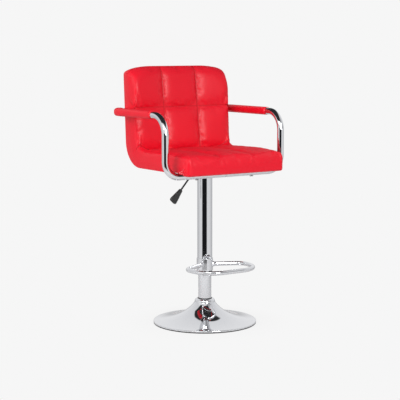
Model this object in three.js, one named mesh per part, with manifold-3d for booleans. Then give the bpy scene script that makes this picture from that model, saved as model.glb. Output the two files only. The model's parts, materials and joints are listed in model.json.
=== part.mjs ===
// A height-adjustable counter stool: chrome trumpet base, gas-lift column with a footrest,
// a one-piece quilted seat and back on a bent plywood shell, and a bent-tube arm loop.
// Millimetres, +Z up, the sitter faces -Y, the origin is on the column axis at the floor.
// Modelled at the height that the photograph shows.
import * as THREE from "three";
import { mergeVertices } from "three/addons/utils/BufferGeometryUtils.js";
import Module from "manifold-3d";

const wasm = await Module();
wasm.setup();

// Fits
const TOUCH = 0.3; // between pieces that seat on each other
const SLIDE = 0.4; // between pieces that slide or turn in each other
const OVERRUN = 2; // how far a cutting tool passes the face that it opens

// Base
const BASE_RADIUS = 192.5;
const BASE_WALL = 1.6;
const RIM_HEIGHT = 5;
const RING_HEIGHT = 3.5;
const RING_WIDTH = 12;
const RING_LIP = 3.2;
const COVER_LIFT = 1.2;
const COVER_THICKNESS = 1.5;
const WEIGHT_INSET = 45; // from the rubber ring in to the weight, which lies where the trumpet is higher
const WEIGHT_THICKNESS = 8;
const WEIGHT_BORE = 20;
const NECK_RADIUS = 28;
const NECK_HEIGHT = 92;
const NECK_SHOULDER = 38.5; // radius of the neck below its rounded top
const NECK_TURN = 12.2; // height over which the top rounds in to the tube
const NECK_RING_DEPTH = 14;
const NECK_RING_LIP = 2;

// Column
const LOWER_TUBE_RADIUS = 24.5;
const LOWER_TUBE_WALL = 2.5;
const LOWER_TUBE_SHARE = 0.719; // of the height of the seat's underside
const FOOT_RADIUS = 60;
const FOOT_THICKNESS = 5;
const FOOT_BOLT_CIRCLE = 45;
const FOOT_BOLTS = 4;
const GUIDE_LENGTH = 40;
const GUIDE_LIP = 3;
const ROD_RADIUS = 5;
const ROD_TAIL = 7;
const SHOULDER_RADIUS = 9;
const SHOULDER_HEIGHT = 4;
const BUFFER_HEIGHT = 10;
const WASHER_RADIUS = 17;
const WASHER_THICKNESS = 2;
const BALL_RADIUS = 2.4;
const BALLS = 8;
const BALL_CIRCLE = 12;
const CAGE_THICKNESS = 2.4;
const CLIP_RADIUS = 9;
const CLIP_THICKNESS = 1.5;
const CYLINDER_RADIUS = 14;
const CYLINDER_WALL = 2;
const CYLINDER_LENGTH = 312;
const CYLINDER_SEAL = 12;
const CYLINDER_HEAD = 26;
const CONE_LENGTH = 45;
const CONE_NARROWING = 0.9;
const PISTON_HEIGHT = 12;
const PISTON_DEPTH = 158;
const VALVE_RADIUS = 2.6;
const VALVE_LENGTH = 22;
const VALVE_STANDS = 5;
const SLEEVE_RADIUS = 28;
const SLEEVE_WALL = 1.8;
const SLEEVE_SHARE = 0.608; // of the height of the seat's underside, as its length
const TOP_BUSH_LENGTH = 22;
const END_BUSH_LIP = 9;
const END_BUSH_TONGUE = 18;

// Footrest, in plan: sideways from the column axis and forwards from it
const FOOTREST_TUBE = 8;
const FOOTREST_DROP_SHARE = 0.5685; // of the same height, from the top of the sleeve down to the loop
const COLLAR_WALL = 2.2;
const COLLAR_HEIGHT = 46;
const FOOTREST_ROOT_HALF = 22;
const FOOTREST_ROOT = 15;
const FOOTREST_REAR_HALF = 128;
const FOOTREST_REAR = 66;
const FOOTREST_REAR_BEND = 38;
const FOOTREST_FRONT_HALF = 116;
const FOOTREST_REACH = 192;
const FOOTREST_FRONT_BEND = 85;
const SCREW_RADIUS = 4;
const SCREW_LENGTH = 7;

// Seat plate and lever
const PLATE_THICKNESS = 2.5;
const PLATE_WIDTH = 190;
const PLATE_DEPTH = 160;
const PLATE_CORNER = 14;
const PAN_WIDTH = 88;
const PAN_DEPTH = 84;
const PAN_DROP = 27;
const PAN_CORNER = 10;
const HUB_RADIUS = 22;
const HUB_LENGTH = 39;
const BOLT_SPREAD_X = 78;
const BOLT_SPREAD_Y = 62;
const LEVER_RADIUS = 3.2;
const LEVER_PIVOT_X = 33;
const LEVER_BEND_X = 53;
const LEVER_BEND = 12;
const LEVER_SLOPE = 48.5;
const LEVER_FREE = 78; // from the bend down to the grip
const LEVER_IN_GRIP = 34;
const LEVER_EYE = 6;
const EYE_WIDTH = 9;
const PIVOT_RADIUS = 2;
const PIVOT_LENGTH = 22;
const EAR_THICKNESS = 2.5;
const EAR_RADIUS = 5.5;
const GRIP_LENGTH = 58;
const GRIP_ROOT = 5.5;
const GRIP_WIDE = 16;
const GRIP_THICK = 6;

// Fasteners
const BOLT_RADIUS = 3;
const BOLT_HEAD = 6.5;
const BOLT_HEAD_HEIGHT = 4;
const NUT_BARREL = 5;
const NUT_FLANGE = 9;
const NUT_FLANGE_HEIGHT = 1.6;

// Seat and back: the outer line runs under the seat, round the corner and up the rear
const SEAT_HALF = 211;
const SEAT_FRONT = 208;
const SEAT_UNDER = 584;
const SHELL_CORNER = 100;
const CORNER_CENTRE_Y = 122;
const REAR_LEAN = 3;
const BACK_RISE = 371; // from under the seat
const DUST_INSET = 18;
const DUST_REAR = 96;
const DUST_CORNER = 8;
const COVER_SHEET = 2; // the rear cover and the dust cover
const REAR_COVER_INSET = 17;
const REAR_COVER_CORNER = 30;
const REAR_COVER_BELOW_TOP = 26;
const SHELL_THICKNESS = 12;
const SHELL_INSET = 17;
const SHELL_FRONT_INSET = 24;
const SHELL_BELOW_TOP = 30;
const SHELL_TOP_CORNER = 66;
const CREASE_Y = 138;
const CREASE_RISE = 71; // from under the seat
const CROWN_SHARE = 0.65; // of the way from the crease to the front, where the seat is highest
const SEAT_ARCH = 3; // how much a seam stands above the crease there
const SEAT_FALL = 9; // how much lower the front edge lies than the crown
const SEAT_ROLL = 18;
const FRONT_LIP = 7.5; // how far the front edge hangs below the seat's underside
const LIP_WIDTH = 5;
const LIP_SLOPE = 4;
const SEAT_FOOT_ROLL = 6;
const SEAT_CORNER = 10;
const BACK_LEAN_RUN = 36; // how far the front of the back leans away over its height
const BACK_WRAP_SHARE = 0.7; // how much less it leans at its sides
const BACK_ROLL_Z = 45;
const CREST_Y = 203;
const FRONT_CORNER_X = 76;
const FRONT_CORNER_Z = 104;
const CREST_CORNER_X = 105;
const CREST_CORNER_Z = 25;
const REAR_EDGE_BELOW_CREST = 8;
const BRIDGE = 16; // how far the cover stands off the crease at the sides
const BRIDGE_X = 60; // the width over which it comes off
const BRIDGE_REACH = 45;
const SIDE_ROLL = 16;
const REAR_ROLL = 5;
const UNDER_ROLL = 2;
const SIDE_BULGE = 2.5;
const SEAM_X = 75;
const ROW_SHARE = 0.495; // of the height from the crease to the top, where the back's seam runs
const SEAM_DEPTH = 9;
const CUSHION_SPLIT = 0.6;
const PANEL_SQUARENESS = 3; // 2 is a round panel, more is a flatter one

// Arm loop
const ARM_TUBE = 12.5;
const ARM_WALL = 1.6;
const ARM_OFFSET = 42; // from the side of the cushions out to the middle of the arm tube
const ARM_FRONT = 128;
const ARM_RISE_SHARE = 0.5474; // of the height from under the seat to the top of the back
const ARM_FRONT_BEND = 68;
const ARM_UNDER_BEND = 56;
const ARM_REAR_BEND = 60;
const ARM_JOINT = 0.8; // the butt joint in the middle of the run under the seat
const PAD_FRONT = 44; // how far the pads reach in front of the column axis
const PAD_HALF_WIDTH = 16.5;
const PAD_HALF_HEIGHT = 14.4;
const PAD_ROUND = 11;
const PAD_WRAP_SHARE = 0.7; // of the rear bend
const UNDER_BOLT_X = 120;
const REAR_BOLT_X = 90;

// Facets
const ROUND_SIDES = 44;
const TUBE_SIDES = 20;
const SMALL_SIDES = 8;
const BEND_STEPS = 6;
const PANEL_CELLS = 6;
const REAR_CELLS = 3;
const ARM_SIDES = 16;
const CURVE_CELLS = 4;

// Materials
const finish = (color, roughness, metalness) =>
  new THREE.MeshStandardMaterial({ color, roughness, metalness });
const chrome = finish(0xd9dadd, 0.12, 1);
const zincSteel = finish(0xb4b6b8, 0.35, 1);
const blackSteel = finish(0x151516, 0.5, 0.6);
const castIron = finish(0x2c2c2e, 0.8, 0.5);
const blackPlastic = finish(0x141414, 0.55, 0);
const rubber = finish(0x1b1b1b, 0.9, 0);
const redHide = finish(0xe22832, 0.42, 0);
const plywood = finish(0xb98d5c, 0.75, 0);
const blackCloth = finish(0x1c1c1d, 0.95, 0);

const radians = THREE.MathUtils.degToRad;
const stool = new THREE.Group();

// Solids and meshes

function solid(geometry) {
  const bare = new THREE.BufferGeometry();
  bare.setAttribute("position", geometry.getAttribute("position"));
  if (geometry.index) bare.setIndex(geometry.index);
  const merged = mergeVertices(bare);
  const corners = merged.index.array;
  const kept = [];
  for (let i = 0; i < corners.length; i += 3) {
    const [a, b, c] = corners.slice(i, i + 3);
    if (a !== b && b !== c && c !== a) kept.push(a, b, c);
  }
  return new wasm.Manifold(
    new wasm.Mesh({
      numProp: 3,
      vertProperties: merged.attributes.position.array,
      triVerts: new Uint32Array(kept),
    }),
  );
}

function surface(body) {
  const { vertProperties, triVerts } = body.getMesh();
  const geometry = new THREE.BufferGeometry();
  geometry.setAttribute("position", new THREE.BufferAttribute(vertProperties, 3));
  geometry.setIndex(new THREE.BufferAttribute(triVerts, 1));
  geometry.computeVertexNormals();
  return geometry;
}

function add(name, body, material) {
  const mesh = new THREE.Mesh(surface(body), material);
  mesh.name = name;
  stool.add(mesh);
  return mesh;
}

// A closed profile of [radius, height] points turned about the column axis.
function revolve(profile, sides = TUBE_SIDES) {
  const points = profile.map(([r, z]) => new THREE.Vector2(r, z));
  if (THREE.ShapeUtils.area(points) < 0) points.reverse();
  points.push(points[0].clone());
  return solid(new THREE.LatheGeometry(points, sides).rotateX(Math.PI / 2));
}

function ring(inner, outer, bottom, top, sides) {
  return revolve([[inner, bottom], [outer, bottom], [outer, top], [inner, top]], sides);
}

// An upright bar about the axis, moved aside by x and y.
function bar(radius, bottom, top, sides = SMALL_SIDES, x = 0, y = 0) {
  const geometry = new THREE.CylinderGeometry(radius, radius, top - bottom, sides);
  return geometry.rotateX(Math.PI / 2).translate(x, y, (bottom + top) / 2);
}

// A flat outline of [x, y, corner radius] points.
function outline(corners) {
  const shape = new THREE.Shape();
  corners.forEach(([x, y, radius = 0], i) => {
    const here = new THREE.Vector2(x, y);
    const last = new THREE.Vector2(...corners.at(i - 1).slice(0, 2));
    const next = new THREE.Vector2(...corners[(i + 1) % corners.length].slice(0, 2));
    const into = here.clone().sub(last).normalize();
    const out = next.clone().sub(here).normalize();
    const turn = Math.atan2(into.cross(out), into.dot(out));
    const reach = radius * Math.tan(Math.abs(turn) / 2);
    const start = here.clone().addScaledVector(into, -reach);
    if (i === 0) shape.moveTo(start.x, start.y);
    else shape.lineTo(start.x, start.y);
    if (!radius) return;
    const side = Math.sign(turn);
    const centre = start.clone().add(new THREE.Vector2(-into.y, into.x).multiplyScalar(side * radius));
    const from = Math.atan2(start.y - centre.y, start.x - centre.x);
    shape.absarc(centre.x, centre.y, radius, from, from + turn, side < 0);
  });
  return shape;
}

function box(halfX, halfY, corner = 0) {
  return outline([
    [-halfX, -halfY, corner],
    [halfX, -halfY, corner],
    [halfX, halfY, corner],
    [-halfX, halfY, corner],
  ]);
}

function upright(shape, bottom, top) {
  const options = { depth: top - bottom, bevelEnabled: false, curveSegments: CURVE_CELLS };
  return new THREE.ExtrudeGeometry(shape, options).translate(0, 0, bottom);
}

// An outline in (y, z) drawn out across the width, from -half to +half.
function across(shape, half) {
  const options = { depth: 2 * half, bevelEnabled: false, curveSegments: CURVE_CELLS };
  const turn = new THREE.Matrix4().makeBasis(
    new THREE.Vector3(0, 1, 0),
    new THREE.Vector3(0, 0, 1),
    new THREE.Vector3(1, 0, 0),
  );
  return new THREE.ExtrudeGeometry(shape, options).applyMatrix4(turn).translate(-half, 0, 0);
}

// Straight runs joined by round bends: each corner is a point and the radius of its bend.
// Stations lie only at the ends and in the bends, where a tube needs them.
class BentPath extends THREE.Curve {
  constructor(corners, steps = BEND_STEPS) {
    super();
    this.stations = [];
    corners.forEach(([corner, radius], i) => {
      const last = corners[Math.max(i - 1, 0)][0];
      const next = corners[Math.min(i + 1, corners.length - 1)][0];
      const into = corner.clone().sub(last).normalize();
      const out = next.clone().sub(corner).normalize();
      if (i === 0) this.stations.push({ at: corner, along: out });
      else if (next === corner) this.stations.push({ at: corner, along: into });
      else this.bend(corner, radius, into, out, steps);
    });
  }

  bend(corner, radius, into, out, steps) {
    const turn = into.angleTo(out);
    const axis = into.clone().cross(out).normalize();
    const start = corner.clone().addScaledVector(into, -radius * Math.tan(turn / 2));
    const arm = into.clone().cross(axis).multiplyScalar(radius);
    const centre = start.clone().sub(arm);
    for (let k = 0; k <= steps; k++) {
      const angle = (turn * k) / steps;
      this.stations.push({
        at: arm.clone().applyAxisAngle(axis, angle).add(centre),
        along: into.clone().applyAxisAngle(axis, angle),
      });
    }
  }

  get steps() {
    return this.stations.length - 1;
  }

  with(stations) {
    return Object.assign(new BentPath([]), { stations });
  }

  // The same path with each end carried straight on.
  longer(extra) {
    const carry = ({ at, along }, by) => ({ at: at.clone().addScaledVector(along, by), along });
    const inner = this.stations.slice(1, -1);
    return this.with([carry(this.stations[0], -extra), ...inner, carry(this.stations.at(-1), extra)]);
  }

  getPointAt(u) {
    return this.stations[Math.round(u * this.steps)].at.clone();
  }

  getTangentAt(u) {
    return this.stations[Math.round(u * this.steps)].along.clone();
  }
}

function sweep(section, path) {
  return new THREE.ExtrudeGeometry(section, {
    steps: path.steps,
    extrudePath: path,
    bevelEnabled: false,
    curveSegments: CURVE_CELLS,
  });
}

function roundSection(radius, sides = SMALL_SIDES) {
  const corner = (k) => {
    const angle = (2 * Math.PI * k) / sides;
    return new THREE.Vector2(radius * Math.cos(angle), radius * Math.sin(angle));
  };
  return new THREE.Shape(Array.from({ length: sides }, (_, k) => corner(k)));
}

const point = (x, y, z) => new THREE.Vector3(x, y, z);

// Heights that several pieces share
const plateTop = SEAT_UNDER - TOUCH;
const weightBottom = COVER_LIFT + COVER_THICKNESS + TOUCH;
const weightTop = weightBottom + WEIGHT_THICKNESS;
const footBottom = weightTop + TOUCH;
const footTop = footBottom + FOOT_THICKNESS;
const panFloor = plateTop - PLATE_THICKNESS - PAN_DROP;
const sleeveTop = panFloor - TOUCH;
const sleeveBottom = sleeveTop - SLEEVE_SHARE * SEAT_UNDER;
const cylinderTop = panFloor + PLATE_THICKNESS + TOUCH;
const cylinderBottom = cylinderTop - CYLINDER_LENGTH;
const valveTop = cylinderTop + VALVE_STANDS;
const leverZ = valveTop + TOUCH + LEVER_RADIUS;
const footrestZ = sleeveTop - FOOTREST_DROP_SHARE * SEAT_UNDER;
const lowerTubeTop = LOWER_TUBE_SHARE * SEAT_UNDER;
const ringInner = BASE_RADIUS - RING_WIDTH;

// Base

function baseRing() {
  const lipOuter = BASE_RADIUS - BASE_WALL - TOUCH;
  return revolve(
    [
      [ringInner, 0],
      [BASE_RADIUS - TOUCH, 0],
      [BASE_RADIUS - TOUCH, RING_HEIGHT],
      [lipOuter, RING_HEIGHT],
      [lipOuter - BASE_WALL, RING_HEIGHT + RING_LIP],
      [ringInner, RING_HEIGHT + RING_LIP],
    ],
    ROUND_SIDES,
  );
}

// The trumpet's outer line from the rim to the neck, as a curve of shares of its size.
const TRUMPET_SHARES = [
  [1, 0],
  [0.213, 0.116],
  [0, 0.975],
  [0, 1],
];

function trumpet() {
  const foot = RING_HEIGHT + TOUCH;
  const rise = foot + RIM_HEIGHT;
  const shoulder = NECK_HEIGHT - NECK_TURN;
  const place = ([out, up]) =>
    new THREE.Vector2(
      NECK_SHOULDER + out * (BASE_RADIUS - NECK_SHOULDER),
      rise + up * (shoulder - rise),
    );
  const flare = new THREE.CubicBezierCurve(...TRUMPET_SHARES.map(place)).getPoints(2 * CURVE_CELLS);
  const turn = quarter([NECK_RADIUS, shoulder], NECK_SHOULDER - NECK_RADIUS, NECK_TURN, 0, CURVE_CELLS);
  const outer = [...flare, ...turn.map(([r, z]) => new THREE.Vector2(r, z))];
  const inner = outer.map((p, i) => {
    const along = new THREE.Vector2()
      .subVectors(outer[Math.min(i + 1, outer.length - 1)], outer[Math.max(i - 1, 0)])
      .normalize();
    return [p.x - Math.abs(along.y) * BASE_WALL, p.y - Math.abs(along.x) * BASE_WALL];
  });
  const bore = NECK_RADIUS - BASE_WALL;
  inner[0] = [BASE_RADIUS - BASE_WALL, rise - BASE_WALL];
  inner[inner.length - 1] = [bore, NECK_HEIGHT - BASE_WALL];
  const rolled = BASE_WALL / 2;
  return revolve(
    [
      [BASE_RADIUS - BASE_WALL, foot],
      [BASE_RADIUS, foot],
      [BASE_RADIUS, rise - rolled],
      ...outer.map((p, i) => [i ? p.x : p.x - rolled, p.y]),
      [bore, NECK_HEIGHT],
      ...inner.reverse(),
    ],
    ROUND_SIDES,
  );
}

function baseWeight() {
  const plate = ring(WEIGHT_BORE, ringInner - WEIGHT_INSET, weightBottom, weightTop);
  return boltPlaces().reduce(
    (body, [x, y]) =>
      body.subtract(
        solid(bar(BOLT_RADIUS + TOUCH, weightTop - WEIGHT_THICKNESS + BOLT_HEAD_HEIGHT / 2,
          weightTop + OVERRUN, SMALL_SIDES, x, y)),
      ),
    plate,
  );
}

function boltPlaces() {
  return Array.from({ length: FOOT_BOLTS }, (_, k) => {
    const angle = (2 * Math.PI * (k + 1 / 2)) / FOOT_BOLTS;
    return [FOOT_BOLT_CIRCLE * Math.cos(angle), FOOT_BOLT_CIRCLE * Math.sin(angle)];
  });
}

function neckRing() {
  const inner = LOWER_TUBE_RADIUS + TOUCH;
  const outer = NECK_RADIUS - BASE_WALL - TOUCH;
  const seat = NECK_HEIGHT + TOUCH;
  return revolve([
    [inner, seat - NECK_RING_DEPTH],
    [outer, seat - NECK_RING_DEPTH],
    [outer, seat],
    [NECK_RADIUS - BASE_WALL / 2, seat],
    [NECK_RADIUS - BASE_WALL / 2, seat + NECK_RING_LIP / 2],
    [NECK_RADIUS - BASE_WALL, seat + NECK_RING_LIP],
    [inner, seat + NECK_RING_LIP],
  ]);
}

add("base_rubber_ring", baseRing(), rubber);
add(
  "base_cover",
  revolve(
    [
      [0, COVER_LIFT],
      [ringInner - TOUCH, COVER_LIFT],
      [ringInner - TOUCH, COVER_LIFT + COVER_THICKNESS],
      [0, COVER_LIFT + COVER_THICKNESS],
    ],
    ROUND_SIDES,
  ),
  blackPlastic,
);
add("base_weight", baseWeight(), castIron);
add("base_shell", trumpet(), chrome);
add("neck_ring", neckRing(), blackPlastic);

// Lower tube, welded to its foot plate, with the guide bush in its top

function lowerTube() {
  const inner = LOWER_TUBE_RADIUS - LOWER_TUBE_WALL;
  const tube = revolve([
    [ROD_RADIUS + SLIDE, footBottom],
    [FOOT_RADIUS, footBottom],
    [FOOT_RADIUS, footTop],
    [LOWER_TUBE_RADIUS + LOWER_TUBE_WALL, footTop],
    [LOWER_TUBE_RADIUS, footTop + LOWER_TUBE_WALL],
    [LOWER_TUBE_RADIUS, lowerTubeTop],
    [inner, lowerTubeTop],
    [inner, footTop],
    [ROD_RADIUS + SLIDE, footTop],
  ]);
  return boltPlaces().reduce(
    (body, [x, y]) =>
      body.subtract(
        solid(bar(BOLT_RADIUS + TOUCH, footBottom - OVERRUN, footTop + OVERRUN, SMALL_SIDES, x, y)),
      ),
    tube,
  );
}

function guideBush() {
  const outer = LOWER_TUBE_RADIUS - LOWER_TUBE_WALL - TOUCH;
  const inner = CYLINDER_RADIUS + SLIDE;
  const seat = lowerTubeTop + TOUCH;
  return revolve([
    [inner, seat - GUIDE_LENGTH],
    [outer, seat - GUIDE_LENGTH],
    [outer, seat],
    [LOWER_TUBE_RADIUS, seat],
    [LOWER_TUBE_RADIUS - GUIDE_LIP / 2, seat + GUIDE_LIP],
    [inner, seat + GUIDE_LIP],
  ]);
}

// A hexagon-headed bolt that points up, with the underside of its head at height 0.
function bolt(length) {
  const head = new THREE.CylinderGeometry(BOLT_HEAD, BOLT_HEAD, BOLT_HEAD_HEIGHT, 6)
    .rotateX(Math.PI / 2)
    .translate(0, 0, -BOLT_HEAD_HEIGHT / 2);
  return solid(head).add(solid(bar(BOLT_RADIUS, -BOLT_HEAD_HEIGHT / 2, length)));
}

add("lower_tube", lowerTube(), chrome);
add("guide_bush", guideBush(), blackPlastic);
boltPlaces().forEach(([x, y], k) => {
  const length = FOOT_THICKNESS + WEIGHT_THICKNESS - BOLT_HEAD_HEIGHT;
  const mesh = add(`foot_bolt_${k + 1}`, bolt(length), zincSteel);
  mesh.position.set(x, y, footTop + TOUCH);
  mesh.rotation.x = Math.PI;
});

// Gas spring: the rod stands on a thrust bearing at the foot of the lower tube

const lowerWasherBottom = footTop + TOUCH;
const ballLow = lowerWasherBottom + WASHER_THICKNESS + TOUCH;
const upperWasherBottom = ballLow + 2 * BALL_RADIUS + TOUCH;
const shoulderBottom = upperWasherBottom + WASHER_THICKNESS + TOUCH;
const pistonBottom = cylinderTop - PISTON_DEPTH;

function thrustBearing() {
  const middle = ballLow + BALL_RADIUS;
  const inner = BALL_CIRCLE - 2 * BALL_RADIUS;
  const outer = BALL_CIRCLE + 2 * BALL_RADIUS;
  let body = ring(inner, outer, middle - CAGE_THICKNESS / 2, middle + CAGE_THICKNESS / 2);
  for (let k = 0; k < BALLS; k++) {
    const angle = (2 * Math.PI * k) / BALLS;
    const ball = new THREE.SphereGeometry(BALL_RADIUS, SMALL_SIDES, CURVE_CELLS);
    ball.rotateX(Math.PI / 2);
    ball.translate(BALL_CIRCLE * Math.cos(angle), BALL_CIRCLE * Math.sin(angle), middle);
    body = body.add(solid(ball));
  }
  return body;
}

function pistonRod() {
  const top = pistonBottom + PISTON_HEIGHT + TOUCH;
  const groove = footBottom - TOUCH - CLIP_THICKNESS;
  const waist = ROD_RADIUS - CLIP_THICKNESS;
  return revolve(
    [
      [0, footBottom - ROD_TAIL],
      [ROD_RADIUS, footBottom - ROD_TAIL],
      [ROD_RADIUS, groove - TOUCH],
      [waist, groove - TOUCH],
      [waist, groove + CLIP_THICKNESS],
      [ROD_RADIUS, groove + CLIP_THICKNESS],
      [ROD_RADIUS, shoulderBottom],
      [SHOULDER_RADIUS, shoulderBottom],
      [SHOULDER_RADIUS, shoulderBottom + SHOULDER_HEIGHT],
      [ROD_RADIUS, shoulderBottom + SHOULDER_HEIGHT],
      [ROD_RADIUS, top],
      [0, top],
    ],
    SMALL_SIDES,
  );
}

function gasCylinder() {
  const inner = CYLINDER_RADIUS - CYLINDER_WALL;
  const head = cylinderTop - CYLINDER_HEAD;
  return revolve([
    [ROD_RADIUS + SLIDE, cylinderBottom],
    [CYLINDER_RADIUS, cylinderBottom],
    [CYLINDER_RADIUS, cylinderTop - CONE_LENGTH],
    [CYLINDER_RADIUS - CONE_NARROWING, cylinderTop],
    [VALVE_RADIUS + SLIDE, cylinderTop],
    [VALVE_RADIUS + SLIDE, head],
    [inner, head - CYLINDER_WALL],
    [inner, cylinderBottom + CYLINDER_SEAL],
    [ROD_RADIUS + SLIDE, cylinderBottom + CYLINDER_SEAL],
  ]);
}

add(
  "bearing_washer_lower",
  ring(ROD_RADIUS + SLIDE, WASHER_RADIUS, lowerWasherBottom, lowerWasherBottom + WASHER_THICKNESS),
  zincSteel,
);
add("thrust_bearing", thrustBearing(), zincSteel);
add(
  "bearing_washer_upper",
  ring(ROD_RADIUS + TOUCH, WASHER_RADIUS, upperWasherBottom, upperWasherBottom + WASHER_THICKNESS),
  zincSteel,
);
add("piston_rod", pistonRod(), zincSteel);
add(
  "rod_clip",
  ring(ROD_RADIUS - CLIP_THICKNESS + TOUCH, CLIP_RADIUS,
    footBottom - TOUCH - CLIP_THICKNESS, footBottom - TOUCH, SMALL_SIDES),
  zincSteel,
);
add(
  "rod_buffer",
  ring(ROD_RADIUS + TOUCH, SHOULDER_RADIUS + TOUCH, shoulderBottom + SHOULDER_HEIGHT + TOUCH,
    shoulderBottom + SHOULDER_HEIGHT + TOUCH + BUFFER_HEIGHT, SMALL_SIDES),
  rubber,
);
add(
  "piston",
  ring(ROD_RADIUS + TOUCH, CYLINDER_RADIUS - CYLINDER_WALL - SLIDE, pistonBottom,
    pistonBottom + PISTON_HEIGHT),
  blackPlastic,
);
add("gas_cylinder", gasCylinder(), blackSteel);
add("valve_pin", solid(bar(VALVE_RADIUS, valveTop - VALVE_LENGTH, valveTop)), zincSteel);

// Chrome sleeve and its bushes

function endBush() {
  const inner = LOWER_TUBE_RADIUS + SLIDE;
  const tongue = SLEEVE_RADIUS - SLEEVE_WALL - TOUCH;
  const seat = sleeveBottom - TOUCH;
  const low = seat - END_BUSH_LIP;
  return revolve([
    [inner, low],
    [SLEEVE_RADIUS - SLEEVE_WALL, low],
    [SLEEVE_RADIUS, low + SLEEVE_WALL],
    [SLEEVE_RADIUS, seat],
    [tongue, seat],
    [tongue, seat + END_BUSH_TONGUE],
    [inner, seat + END_BUSH_TONGUE],
  ]);
}

add("upper_sleeve", ring(SLEEVE_RADIUS - SLEEVE_WALL, SLEEVE_RADIUS, sleeveBottom, sleeveTop), chrome);
add(
  "sleeve_top_bush",
  ring(HUB_RADIUS + TOUCH, SLEEVE_RADIUS - SLEEVE_WALL - TOUCH, sleeveTop - TOP_BUSH_LENGTH, sleeveTop),
  blackPlastic,
);
add("sleeve_end_bush", endBush(), blackPlastic);

// Footrest: a bent loop whose ends are welded to the collar on the sleeve

function footrest() {
  const collarInner = SLEEVE_RADIUS + TOUCH;
  const collarOuter = collarInner + COLLAR_WALL;
  const half = (side) => [
    [point(side * FOOTREST_ROOT_HALF, -FOOTREST_ROOT, footrestZ), 0],
    [point(side * FOOTREST_REAR_HALF, -FOOTREST_REAR, footrestZ), FOOTREST_REAR_BEND],
    [point(side * FOOTREST_FRONT_HALF, -FOOTREST_REACH, footrestZ), FOOTREST_FRONT_BEND],
  ];
  const loop = new BentPath([...half(-1), ...half(1).reverse()]);
  const low = footrestZ - COLLAR_HEIGHT / 2;
  const high = footrestZ + COLLAR_HEIGHT / 2;
  const collar = revolve([
    [collarInner, low],
    [collarOuter, low],
    [collarOuter, high - COLLAR_WALL / 2],
    [collarOuter - COLLAR_WALL / 2, high],
    [collarInner, high],
  ]);
  const screwHole = bar(SCREW_RADIUS + TOUCH, 0, SLEEVE_RADIUS + SCREW_LENGTH)
    .rotateX(-Math.PI / 2)
    .translate(0, 0, footrestZ);
  return collar
    .add(solid(sweep(roundSection(FOOTREST_TUBE), loop)))
    .subtract(solid(bar(collarInner, low - OVERRUN, high + OVERRUN, TUBE_SIDES)))
    .subtract(solid(screwHole));
}

add("footrest", footrest(), chrome);
const screw = add("footrest_screw", solid(bar(SCREW_RADIUS, 0, SCREW_LENGTH)), blackSteel);
screw.position.set(0, SLEEVE_RADIUS + TOUCH, footrestZ);
screw.rotation.x = -Math.PI / 2;

// Seat plate: a pressed pan with the lever inside and the cone socket below

const boltSpots = [-1, 1].flatMap((sx) => [-1, 1].map((sy) => [sx * BOLT_SPREAD_X, sy * BOLT_SPREAD_Y]));

function seatPlate() {
  const under = plateTop - PLATE_THICKNESS;
  const wall = PLATE_THICKNESS;
  const earTop = leverZ + EAR_RADIUS;
  const ear = (y) =>
    solid(
      across(outline([
        [y - EAR_THICKNESS / 2, panFloor + wall / 2],
        [y + EAR_THICKNESS / 2, panFloor + wall / 2],
        [y + EAR_THICKNESS / 2, earTop],
        [y - EAR_THICKNESS / 2, earTop],
      ]), EAR_RADIUS).translate(-LEVER_PIVOT_X, 0, 0),
    );
  const earPlace = EYE_WIDTH / 2 + SLIDE + EAR_THICKNESS / 2;
  const cone = revolve([
    [0, panFloor - HUB_LENGTH - OVERRUN],
    [CYLINDER_RADIUS + TOUCH, panFloor - HUB_LENGTH - OVERRUN],
    [CYLINDER_RADIUS + TOUCH, cylinderTop - CONE_LENGTH],
    [CYLINDER_RADIUS - CONE_NARROWING + TOUCH, cylinderTop + OVERRUN],
    [0, cylinderTop + OVERRUN],
  ]);
  const pivotHole = bar(PIVOT_RADIUS + TOUCH, -PIVOT_LENGTH, PIVOT_LENGTH)
    .rotateX(Math.PI / 2)
    .translate(-LEVER_PIVOT_X, 0, leverZ);
  const slotHalf = LEVER_RADIUS + OVERRUN;
  const slot = upright(box(wall + OVERRUN, slotHalf), leverZ - slotHalf - OVERRUN, leverZ + slotHalf)
    .translate(-PAN_WIDTH / 2, 0, 0);
  const pan = solid(upright(box(PLATE_WIDTH / 2, PLATE_DEPTH / 2, PLATE_CORNER), under, plateTop))
    .add(solid(upright(box(PAN_WIDTH / 2, PAN_DEPTH / 2, PAN_CORNER), panFloor, under + wall / 2)))
    .subtract(
      solid(upright(box(PAN_WIDTH / 2 - wall, PAN_DEPTH / 2 - wall, PAN_CORNER - wall),
        panFloor + wall, plateTop + OVERRUN)),
    )
    .add(solid(bar(HUB_RADIUS, panFloor - HUB_LENGTH, panFloor + wall / 2, TUBE_SIDES)))
    .add(ear(-earPlace))
    .add(ear(earPlace))
    .subtract(cone)
    .subtract(solid(pivotHole))
    .subtract(solid(slot));
  return boltSpots.reduce(
    (body, [x, y]) =>
      body.subtract(
        solid(bar(BOLT_RADIUS + TOUCH, under - OVERRUN, plateTop + OVERRUN, SMALL_SIDES, x, y)),
      ),
    pan,
  );
}

add("seat_plate", seatPlate(), blackSteel);

// Release lever: it turns on a pin in the pan and its inner end lies on the valve pin

function leverPath() {
  const slope = radians(LEVER_SLOPE);
  const down = LEVER_FREE + LEVER_IN_GRIP;
  return new BentPath([
    [point(VALVE_RADIUS + SLIDE, 0, leverZ), 0],
    [point(-LEVER_BEND_X, 0, leverZ), LEVER_BEND],
    [point(-LEVER_BEND_X - down * Math.cos(slope), 0, leverZ - down * Math.sin(slope)), 0],
  ]);
}

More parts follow.
